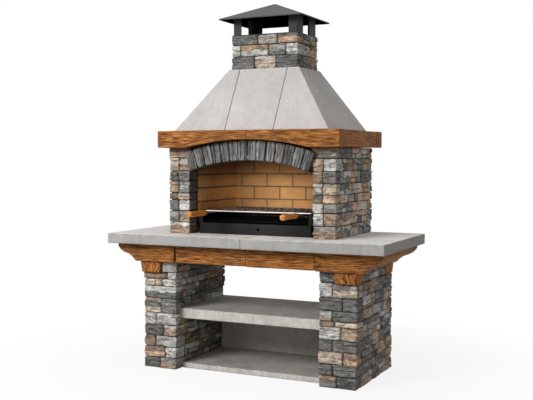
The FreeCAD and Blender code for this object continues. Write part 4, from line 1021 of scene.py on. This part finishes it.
fade = add(tree, "ShaderNodeMapRange", {"Value": patch, "From Min": 0.35, "From Max": 0.65, "To Min": 1.12,
                                        "To Max": 0.82}).outputs[0]
wood = add(tree, "ShaderNodeMix", {0: 1.0, 6: inked, 7: fade}, **TIMES).outputs[2]
height = add(tree, "ShaderNodeMath", {0: fibre, 1: dark}, operation="SUBTRACT").outputs[0]
bump = add(tree, "ShaderNodeBump", {"Height": height, "Strength": 0.7, "Distance": 0.004}).outputs[0]
shader = add(tree, "ShaderNodeBsdfPrincipled", {"Base Color": wood, "Roughness": 0.68, "IOR": 1.5,
                                                "Specular IOR Level": 0.25, "Normal": bump})
add(tree, "ShaderNodeOutputMaterial", {"Surface": shader.outputs[0]})
print(stained_timber.name, len(tree.nodes), "nodes")

# %% [markdown]
# Straight beams are blocks carried along their length. The moulded corbel beams and the small blocks are
# carried upwards instead, so that their fronts and sides are one skin with the grain running round it, and
# the ogee is just an outer edge that depends on the height. The mantel's two front halves are carried along X
# while their underside follows the arch, z = z0 + sqrt(R^2 - x^2) - (R - rise).

# %% straight beams
TIMBER_SOFT = 0.005
TIMBER_STEP = 0.016
OPEN_JOINT = 0.010
BEAMS = (("fascia_left", 0), ("fascia_right", 0), ("mantel_left", 1), ("mantel_right", 1), ("mantel_back", 0))


def hewn(seed):
    """Uneven hewn faces: long shallow waves along the grain and shorter ripples across it."""
    return relief_of((0.0016, 0.30, 0.05), (0.0010, 0.10, 0.014), seed=seed)


def timber_piece(node, *lofts):
    """One piece of stained timber over its CAD node."""
    make_piece(f"hewn_{node}", lofts, stained_timber, [node])


for place, (node, axis) in enumerate(BEAMS):
    low, high = node_box(node)
    if node == "fascia_left":
        low[0] += OPEN_JOINT
    timber_piece(node, block(low, high, axis, TIMBER_SOFT, TIMBER_STEP, relief=hewn(place),
                             shift=place * 1.37))

# %% mantel front
ARCH_HALF = 0.417
ARCH_RISE = 0.049
ARCH_RADIUS = (ARCH_HALF ** 2 + ARCH_RISE ** 2) / (2 * ARCH_RISE)
MANTEL_STATIONS = 60
for place, node in enumerate(("mantel_front_left", "mantel_front_right")):
    low, high = node_box(node)
    stations = np.linspace(low[0], high[0], MANTEL_STATIONS)
    span = np.minimum(np.abs(stations), ARCH_HALF)
    corners = rectangle(low[1:], high[1:], MANTEL_STATIONS)
    corners[:, :2, 1] += (np.sqrt(ARCH_RADIUS ** 2 - span ** 2) - (ARCH_RADIUS - ARCH_RISE))[:, None]
    timber_piece(node, sweep(0, stations, corners, TIMBER_SOFT, [7] * 4, relief=hewn(20 + place),
                             shift=5.1 + place * 0.83))

# %% corbel beams
SIDES = ((-1, "left"), (1, "right"))
OUTER_HALF = 0.6
FRONT_PLANE = 0.001
BEAM_LEVELS = 14
for side, name in SIDES:
    node = f"{name}_corbel_beam"
    low, high = node_box(node)
    points = np.unique(np.round(np.concatenate(islands(node)), 5), axis=0)
    edge = points[(points[:, 1] < low[1] + FRONT_PLANE) & (np.abs(points[:, 0]) > OUTER_HALF)]
    edge = edge[np.argsort(edge[:, 2])]
    inner = np.abs(points[:, 0]).min()
    stations = np.unique(np.concatenate([edge[:, 2], np.linspace(low[2], high[2], BEAM_LEVELS)]))
    reach = np.interp(stations, edge[:, 2], np.abs(edge[:, 0]))
    corners = outline(len(stations), (inner, low[1]), (reach, low[1]), (reach, high[1]), (inner, high[1]))
    if side < 0:
        corners = corners[:, [1, 0, 3, 2]] * (-1, 1)
    timber_piece(node, sweep(2, stations, corners, TIMBER_SOFT, [22, 30, 22, 30], relief=hewn(30 + side),
                             grain="around", shift=2.3 + side))
    print(node, "profile of", len(edge), "points")

# %% [markdown]
# The short blocks under the corbel beams are let into the top course, so in plan each is an L round the
# leg's core. On their fronts the fibres stand upright.

# %% corbel blocks
BLOCK_SOFT = 0.009
BLOCK_TAPER = 0.008
BLOCK_STATIONS = 8
BLOCK_WAVES = (0.0016, 0.05, 0.02)
END_GRAIN = (3.0, 0.5)
taper = BLOCK_TAPER * np.linspace(1, 0, BLOCK_STATIONS)
for side, name in SIDES:
    node = f"{name}_corbel_blocks"
    lofts = []
    for place, solid in enumerate(sorted(islands(node), key=lambda one: one[:, 1].min())):
        x_in, x_mid, x_out = np.unique(np.round(np.abs(solid[:, 0]), 4))
        y_low, y_mid, y_high = np.unique(np.round(solid[:, 1], 4))
        before, behind = (x_mid, x_in) if place else (x_in, x_mid)
        stations = np.linspace(solid[:, 2].min(), solid[:, 2].max(), BLOCK_STATIONS)
        plan = outline(BLOCK_STATIONS, (before, y_low), (x_out - taper, y_low), (x_out - taper, y_high),
                       (behind, y_high), (behind, y_mid), (before, y_mid))
        plan = plan if side > 0 else plan[:, ::-1] * (-1, 1)
        loft = sweep(2, stations, plan, BLOCK_SOFT, [8, 8, 8, 4, 4, 4],
                     relief=relief_of(BLOCK_WAVES, seed=50 + place), shift=7.7 + place + 3 * side)
        loft["uv"] = loft["uv"] * END_GRAIN
        lofts.append(loft)
    timber_piece(node, *lofts)

# %% [markdown]
# ## Firebrick and mortar
# The hearth is lined with pressed fireclay bricks: a buff orange clay with a sandy skin, each brick a little
# lighter or darker than the next, with crisp but not sharp arrises. Painted shade darkens and browns the
# upper courses and their joints under the arch, and turns the lowest course almost black. The joints are
# raked mortar. Each brick is its own small block with a few dozen faces, and its shade is stored in the same
# attribute as the stones'.

# %% clay and mortar finishes
# painted shade: heights where the hearth's top darkens and where its lowest course turns black
TOP_SHADE_RISE = (1.16, 1.34)
BOTTOM_SHADE_RISE = (0.995, 1.03)


def painted_top_shade(tree, spot, colour):
    """Painted shade under the arch: the colour darkened and browned from nothing at 1.16 m above the
    ground to the full shade at 1.34 m.
    """
    height = add(tree, "ShaderNodeSeparateXYZ", {0: spot}).outputs[2]
    rise = add(tree, "ShaderNodeMapRange", {"Value": height, "From Min": TOP_SHADE_RISE[0],
                                            "From Max": TOP_SHADE_RISE[1], "To Min": 0.0, "To Max": 1.0},
               interpolation_type="SMOOTHSTEP").outputs[0]
    brown = add(tree, "ShaderNodeMix", {0: rise, 6: FULL_WHITE, 7: (*linear("#816E52"), 1)},
                **BLEND).outputs[2]
    return add(tree, "ShaderNodeMix", {0: 1.0, 6: colour, 7: brown}, **TIMES).outputs[2]


def mortar(name, grain, stops, hearth_shade):
    """Sandy mortar with grains of that many millimetres, and painted top shade where it lines the hearth."""
    finish, tree = new_finish(name)
    spot = add(tree, "ShaderNodeTexCoord").outputs["Object"]
    sand = add(tree, "ShaderNodeTexNoise", {"Vector": spot, "Scale": per_mm(grain), "Detail": 6,
                                            "Roughness": 0.7}).outputs["Fac"]
    shade = add(tree, "ShaderNodeValToRGB", {"Fac": sand}, stops).outputs["Color"]
    if hearth_shade:
        shade = painted_top_shade(tree, spot, shade)
    bump = add(tree, "ShaderNodeBump", {"Height": sand, "Strength": 0.6, "Distance": 0.002}).outputs[0]
    shader = add(tree, "ShaderNodeBsdfPrincipled", {"Base Color": shade, "Roughness": 0.95, "IOR": 1.5,
                                                    "Normal": bump})
    add(tree, "ShaderNodeOutputMaterial", {"Surface": shader.outputs[0]})
    print(name, len(tree.nodes), "nodes")
    return finish


fired_clay, tree = new_finish("fired_clay_brick")
spot = add(tree, "ShaderNodeTexCoord").outputs["Object"]
tone = add(tree, "ShaderNodeAttribute", attribute_name="tint").outputs["Color"]
cloud = add(tree, "ShaderNodeTexNoise", {"Vector": spot, "Scale": per_mm(70), "Detail": 6,
                                         "Roughness": 0.62}).outputs["Fac"]
light = add(tree, "ShaderNodeMapRange", {"Value": cloud, "From Min": 0.3, "From Max": 0.7, "To Min": 0.86,
                                         "To Max": 1.12}).outputs[0]
clay = add(tree, "ShaderNodeMix", {0: 1.0, 6: tone, 7: light}, **TIMES).outputs[2]
grog = add(tree, "ShaderNodeTexVoronoi", {"Vector": spot, "Scale": per_mm(11)}).outputs["Distance"]
speck = add(tree, "ShaderNodeMapRange", {"Value": grog, "From Min": 0.08, "From Max": 0.2, "To Min": 0.74,
                                         "To Max": 1.0}).outputs[0]
skin = add(tree, "ShaderNodeMix", {0: 0.6, 6: clay, 7: speck}, **TIMES).outputs[2]
height = add(tree, "ShaderNodeSeparateXYZ", {0: spot}).outputs[2]
# painted shade: the lowest course, below the grate, is nearly black
shade_below = add(tree, "ShaderNodeMapRange", {"Value": height, "From Min": BOTTOM_SHADE_RISE[0], "From Max": BOTTOM_SHADE_RISE[1],
                                        "To Min": 0.06, "To Max": 1.0},
           interpolation_type="SMOOTHSTEP").outputs[0]
hearth_shade = add(tree, "ShaderNodeMix", {0: 1.0, 6: painted_top_shade(tree, spot, skin), 7: shade_below}, **TIMES).outputs[2]
sand = add(tree, "ShaderNodeTexNoise", {"Vector": spot, "Scale": per_mm(5), "Detail": 4}).outputs["Fac"]
bump = add(tree, "ShaderNodeBump", {"Height": sand, "Strength": 0.4, "Distance": 0.0012}).outputs[0]
shader = add(tree, "ShaderNodeBsdfPrincipled", {"Base Color": hearth_shade, "Roughness": 0.9, "IOR": 1.5,
                                                "Normal": bump})
add(tree, "ShaderNodeOutputMaterial", {"Surface": shader.outputs[0]})
print(fired_clay.name, len(tree.nodes), "nodes")
raked_mortar = mortar("raked_mortar", 12, [(0.3, "#5E4A38"), (0.5, "#775F48"), (0.7, "#8B7258")], True)
deep_mortar = mortar("deep_joint_mortar", 15, [(0.3, "#1C1A18"), (0.7, "#2F2B28")], False)

# %% bricks
BRICK_SOFT = 0.0025
BRICK = linear("#C48F57")
UNDIVIDED = 1.0
# painted light: each wall has its own level; the left wall is painted 1.46 times as light, the right 1.1
# times
WALLS_WITH_PAINTED_LIGHT = (("left_firebricks", 0, 1.46), ("right_firebricks", 0, 1.1), ("back_firebricks", 1, 1.0))


def bricks(node, axis, seed, level):
    """A block per brick, carried along the wall's normal, with a shade of 0.9 to 1.1 times the level.

    The level is painted light, given per wall.
    """
    chance = np.random.default_rng(seed)
    lofts = []
    for corners in islands(node):
        loft = block(corners.min(0), corners.max(0), axis, BRICK_SOFT, UNDIVIDED)
        shade = BRICK * level * chance.uniform(0.9, 1.1)
        loft["tint"] = shade * np.array([1.0, chance.uniform(0.96, 1.03), 1.0])
        lofts.append(loft)
    return lofts


def dress(finish, *nodes):
    """Put a finish into every material slot of CAD nodes that keep their own shape."""
    for node in nodes:
        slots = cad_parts[node].data.materials
        for place in range(len(slots)):
            slots[place] = finish
        if not len(slots):
            slots.append(finish)
    print(finish.name, "on", len(nodes), "nodes")


for seed, (node, axis, level) in enumerate(WALLS_WITH_PAINTED_LIGHT):
    make_piece(f"pressed_{node}", bricks(node, axis, seed, level), fired_clay, [node], crease=30)
dress(raked_mortar, "left_brick_mortar", "right_brick_mortar", "back_brick_mortar", "hearth_slab")
# painted shade on the lintel under the arch
dress(lintel_shade_concrete, "arch_lintel")

# %% [markdown]
# Behind every veneer the joints are filled with dark mortar to within a finger's width of the face. Without
# it one could look through the open joints at a corner. It is poured as plain blocks over the cores, and
# round the flue as four walls.

# %% joint mortar
JOINT_RAKE = np.array([0.013, 0.013, 0])
MORTAR_STEP = 0.2
FLUE_HALF = 0.169
FLUE_Y = (0.014, 0.211)
for name in ("left_leg", "left_cheek", "right_leg", "right_cheek"):
    low, high = node_box(f"{name}_stones")
    loft = block(low + JOINT_RAKE, high - JOINT_RAKE, 2, 0.002, MORTAR_STEP)
    make_piece(f"mortar_{name}", [loft], deep_mortar, [f"{name}_core"])
low, high = node_box("chimney_stones")
low, high = low + JOINT_RAKE, high - JOINT_RAKE
walls = [(low, (high[0], FLUE_Y[0], high[2])), ((low[0], FLUE_Y[1], low[2]), high),
         ((low[0], FLUE_Y[0], low[2]), (-FLUE_HALF, FLUE_Y[1], high[2])),
         ((FLUE_HALF, FLUE_Y[0], low[2]), (high[0], FLUE_Y[1], high[2]))]
lofts = [block(np.array(one), np.array(two), 2, 0.001, MORTAR_STEP) for one, two in walls]
make_piece("mortar_chimney", lofts, deep_mortar, ["chimney_core"])

# %% [markdown]
# ## Painted steel
# Firebox, drawer and cap are folded from sheet steel. The visible front of the firebox wears matt heat-proof
# black, its inside is painted a dead black as shade, and the cap has a dark grey paint with a soft sheen,
# paler on the roof, with painted shade on the faces that look down. Paint on thin sheet shows faint waves in
# its gloss and fine dust, so roughness and colour drift a little over a hand's width.

# %% paint finishes
def sheet_paint(name, dark, pale, gloss, shine, shade_below=1.0):
    """Paint on sheet steel: two close shades over 90 mm clouds, gloss that drifts, an orange peel of 4 mm.

    Faces that look down get painted shade: they are darkened and dulled by the factor given for them.
    """
    finish, tree = new_finish(name)
    spot = add(tree, "ShaderNodeTexCoord").outputs["Object"]
    drift = add(tree, "ShaderNodeTexNoise", {"Vector": spot, "Scale": per_mm(90), "Detail": 6,
                                             "Roughness": 0.65}).outputs["Fac"]
    colour = add(tree, "ShaderNodeValToRGB", {"Fac": drift}, [(0.3, dark), (0.7, pale)]).outputs["Color"]
    rough = add(tree, "ShaderNodeMapRange", {"Value": drift, "From Min": 0.3, "From Max": 0.7,
                                             "To Min": gloss - 0.08, "To Max": gloss + 0.08}).outputs[0]
    peel = add(tree, "ShaderNodeTexNoise", {"Vector": spot, "Scale": per_mm(4), "Detail": 2}).outputs["Fac"]
    bump = add(tree, "ShaderNodeBump", {"Height": peel, "Strength": 0.12, "Distance": 0.0005}).outputs[0]
    # painted shade: faces that look down are darkened and lose their sheen
    if shade_below < 1:
        normal = add(tree, "ShaderNodeNewGeometry").outputs["Normal"]
        facing = add(tree, "ShaderNodeSeparateXYZ", {0: normal}).outputs[2]
        below = add(tree, "ShaderNodeMapRange", {"Value": facing, "From Min": -0.4, "From Max": -0.1,
                                                 "To Min": shade_below, "To Max": 1.0}).outputs[0]
        colour = add(tree, "ShaderNodeMix", {0: 1.0, 6: colour, 7: below}, **TIMES).outputs[2]
        shine = add(tree, "ShaderNodeMath", {0: below, 1: shine}, operation="MULTIPLY").outputs[0]
    shader = add(tree, "ShaderNodeBsdfPrincipled", {"Base Color": colour, "Roughness": rough, "IOR": 1.5,
                                                    "Specular IOR Level": shine, "Normal": bump})
    add(tree, "ShaderNodeOutputMaterial", {"Surface": shader.outputs[0]})
    print(name, len(tree.nodes), "nodes")
    return finish


black_paint = sheet_paint("heatproof_black_paint", "#151515", "#212121", 0.6, 0.14)
# painted shade: the firebox inside, rails, ledges, tie and tray are a dead black
shade_black_paint = sheet_paint("painted_shade_black_paint", "#030303", "#070706", 0.9, 0.02)
cap_paint = sheet_paint("dark_grey_cap_paint", "#323332", "#414241", 0.6, 0.22, shade_below=0.0)
roof_paint = sheet_paint("paler_roof_paint", "#464746", "#575857", 0.6, 0.22, shade_below=0.0)
dress(black_paint, "firebox_uprights", "ash_drawer_front")
dress(shade_black_paint, "left_firebox_plate", "right_firebox_plate", "grate_rails", "charcoal_ledges",
      "firebox_tie", "ash_tray")
dress(cap_paint, "cap_base", "cap_screws", "cap_posts")

# %% [markdown]
# ## The cap
# A shallow pyramid of folded sheet on four angle posts, which keep their CAD shape. The roof is one loft that
# comes down the inside, turns round the rim and climbs the outside, so the sheet has its real thickness.

# %% roof
ROOF_LOW, ROOF_HIGH = node_box("cap_roof")
SHEET = 0.003
SHOULDER = 0.008
ROOF_CUT = 0.003
ROOF_LEVELS = 9
TIP_SHARE = 0.992
TIP_HALF = 0.002, 0.003
RIM_ROUND = 0.0005, 0.001
half = np.array([ROOF_HIGH[0], (ROOF_HIGH[1] - ROOF_LOW[1]) / 2])
share = np.linspace(TIP_SHARE, 0.0, ROOF_LEVELS)[:, None]
eaves = ROOF_LOW[2] + SHOULDER
climb = eaves + (ROOF_HIGH[2] - ROOF_LOW[2] - SHOULDER) * share
inside = np.hstack([(1 - share) * (half - SHEET) + TIP_HALF[0] * share, climb - SHEET])
outside = np.hstack([(1 - share) * half + TIP_HALF[1] * share, climb])[::-1]
rim = np.array([(*(half - SHEET), ROOF_LOW[2]), (*(half - RIM_ROUND[0]), ROOF_LOW[2]),
                (*half, ROOF_LOW[2] + RIM_ROUND[1]), (*half, eaves - ROOF_CUT)])
rows = np.concatenate([inside, rim, outside])
square = np.array([(-1, -1), (1, -1), (1, 1), (-1, 1)])
rings = softened(square[None] * rows[:, None, :2], ROOF_CUT, [6] * 4)
points = np.concatenate([rings, np.repeat(rows[:, None, 2:], rings.shape[1], 1)], -1)
points[..., 1] += (ROOF_LOW[1] + ROOF_HIGH[1]) / 2
make_piece("folded_cap_roof", [{"points": points}], roof_paint, ["cap_roof"], crease=14)

# %% [markdown]
# ## Grates
# The cooking grate is welded from bright drawn bar. Its front bar has been wiped clean and catches the light,
# while the rods behind have been over the fire, so they are tinted straw and brown with a dull film, and pale
# spots on them are painted glints. The charcoal bars below are scaled iron, painted near black as shade.

# %% metal finishes
bright_steel, tree = new_finish("bright_drawn_steel")
spot = add(tree, "ShaderNodeTexCoord").outputs["Object"]
rub = add(tree, "ShaderNodeTexNoise", {"Vector": spot, "Scale": per_mm(18), "Detail": 5}).outputs["Fac"]
colour = add(tree, "ShaderNodeValToRGB", {"Fac": rub}, [(0.3, "#96938F"), (0.7, "#BDBAB6")]).outputs["Color"]
rough = add(tree, "ShaderNodeMapRange", {"Value": rub, "To Min": 0.3, "To Max": 0.5}).outputs[0]
shader = add(tree, "ShaderNodeBsdfPrincipled", {"Base Color": colour, "Metallic": 1.0, "Roughness": rough})
add(tree, "ShaderNodeOutputMaterial", {"Surface": shader.outputs[0]})

tinted_glinting_steel, tree = new_finish("fire_tinted_glinting_steel")
spot = add(tree, "ShaderNodeTexCoord").outputs["Object"]
film = add(tree, "ShaderNodeTexNoise", {"Vector": spot, "Scale": per_mm(30), "Detail": 4,
                                        "Roughness": 0.6}).outputs["Fac"]
# heat tint and painted highlight: the pale stop gives the rods spots of glint
colour = add(tree, "ShaderNodeValToRGB", {"Fac": film},
             [(0.4, "#332B24"), (0.5, "#6E6154"), (0.6, "#CFC5B7")]).outputs["Color"]
rough = add(tree, "ShaderNodeMapRange", {"Value": film, "To Min": 0.7, "To Max": 0.5}).outputs[0]
shader = add(tree, "ShaderNodeBsdfPrincipled", {"Base Color": colour, "Metallic": 0.35, "Roughness": rough})
add(tree, "ShaderNodeOutputMaterial", {"Surface": shader.outputs[0]})

shaded_scaled_iron, tree = new_finish("shaded_scaled_iron")
spot = add(tree, "ShaderNodeTexCoord").outputs["Object"]
scale = add(tree, "ShaderNodeTexNoise", {"Vector": spot, "Scale": per_mm(10), "Detail": 6,
                                         "Roughness": 0.7}).outputs["Fac"]
# painted shade: the bars are near black, as they lie in the dark under the grate
colour = add(tree, "ShaderNodeValToRGB", {"Fac": scale},
             [(0.35, "#030303"), (0.65, "#080706")]).outputs["Color"]
bump = add(tree, "ShaderNodeBump", {"Height": scale, "Strength": 0.6, "Distance": 0.0015}).outputs[0]
shader = add(tree, "ShaderNodeBsdfPrincipled", {"Base Color": colour, "Roughness": 0.9,
                                                "Specular IOR Level": 0.05, "Normal": bump})
add(tree, "ShaderNodeOutputMaterial", {"Surface": shader.outputs[0]})
dress(bright_steel, "grate_frame", "left_handle_shank", "right_handle_shank")
dress(tinted_glinting_steel, "grate_rods")
dress(shaded_scaled_iron, "charcoal_bars", "charcoal_ties")

# %% [markdown]
# ## Turned grips
# Two oiled beech grips sit on the shanks. They are turned on a lathe: a radius that depends on the distance
# from the front, waisted in the middle, with a domed end. The lighter end is end grain. The fibres are
# streaks of 70 by 6 mm, coarser than in the real wood, so that they show.

# %% grips
# distance from the front as a share of the length, and radius as a share of the largest
GRIP_PROFILE = np.array([(0, 0.66), (0.004, 0.80), (0.012, 0.91), (0.025, 0.97), (0.06, 1.0), (0.12, 0.99),
                         (0.22, 0.96), (0.35, 0.91), (0.5, 0.87), (0.64, 0.86), (0.76, 0.88), (0.86, 0.91),
                         (0.93, 0.90), (0.97, 0.86), (0.99, 0.78), (1.0, 0.62)])
GRIP_SIDES = 32
END_SHARE = 0.02
END_TINT = 1.15
oiled_beech, tree = new_finish("oiled_beech")
grain = add(tree, "ShaderNodeUVMap", uv_map="grain").outputs[0]
tone = add(tree, "ShaderNodeAttribute", attribute_name="tint").outputs["Color"]
streaks = add(tree, "ShaderNodeMapping", {"Vector": grain, "Scale": (14, 160, 1)}).outputs[0]
fibre = add(tree, "ShaderNodeTexNoise", {"Vector": streaks, "Scale": 1.0, "Detail": 4,
                                         "Roughness": 0.6}).outputs["Fac"]
colour = add(tree, "ShaderNodeValToRGB", {"Fac": fibre},
             [(0.3, "#B0611A"), (0.5, "#D5832E"), (0.7, "#E59C48")]).outputs["Color"]
wood = add(tree, "ShaderNodeMix", {0: 1.0, 6: colour, 7: tone}, **TIMES).outputs[2]
bump = add(tree, "ShaderNodeBump", {"Height": fibre, "Strength": 0.2, "Distance": 0.0008}).outputs[0]
shader = add(tree, "ShaderNodeBsdfPrincipled", {"Base Color": wood, "Roughness": 0.42, "IOR": 1.5,
                                                "Normal": bump})
add(tree, "ShaderNodeOutputMaterial", {"Surface": shader.outputs[0]})

for name in ("left", "right"):
    low, high = node_box(f"{name}_grip")
    length = high[1] - low[1]
    big = (high[0] - low[0]) / 2
    place, radius = GRIP_PROFILE.T * np.array([[1], [big]])
    turn = np.linspace(0, 2 * math.pi, GRIP_SIDES + 1)
    middle = (low + high) / 2
    points = np.empty((len(place), GRIP_SIDES, 3))
    points[..., 0] = middle[0] + radius[:, None] * np.cos(turn[:-1])
    points[..., 1] = low[1] + length * place[:, None]
    points[..., 2] = middle[2] + radius[:, None] * np.sin(turn[:-1])
    uv = np.stack(np.meshgrid(length * place, big * turn, indexing="ij"), -1)
    tint = np.where(place[:, None, None] < END_SHARE, END_TINT, 1.0)
    make_piece(f"turned_{name}_grip", [{"points": points, "uv": uv, "tint": tint}], oiled_beech,
               [f"{name}_grip"], body="cooking_grate", crease=35)
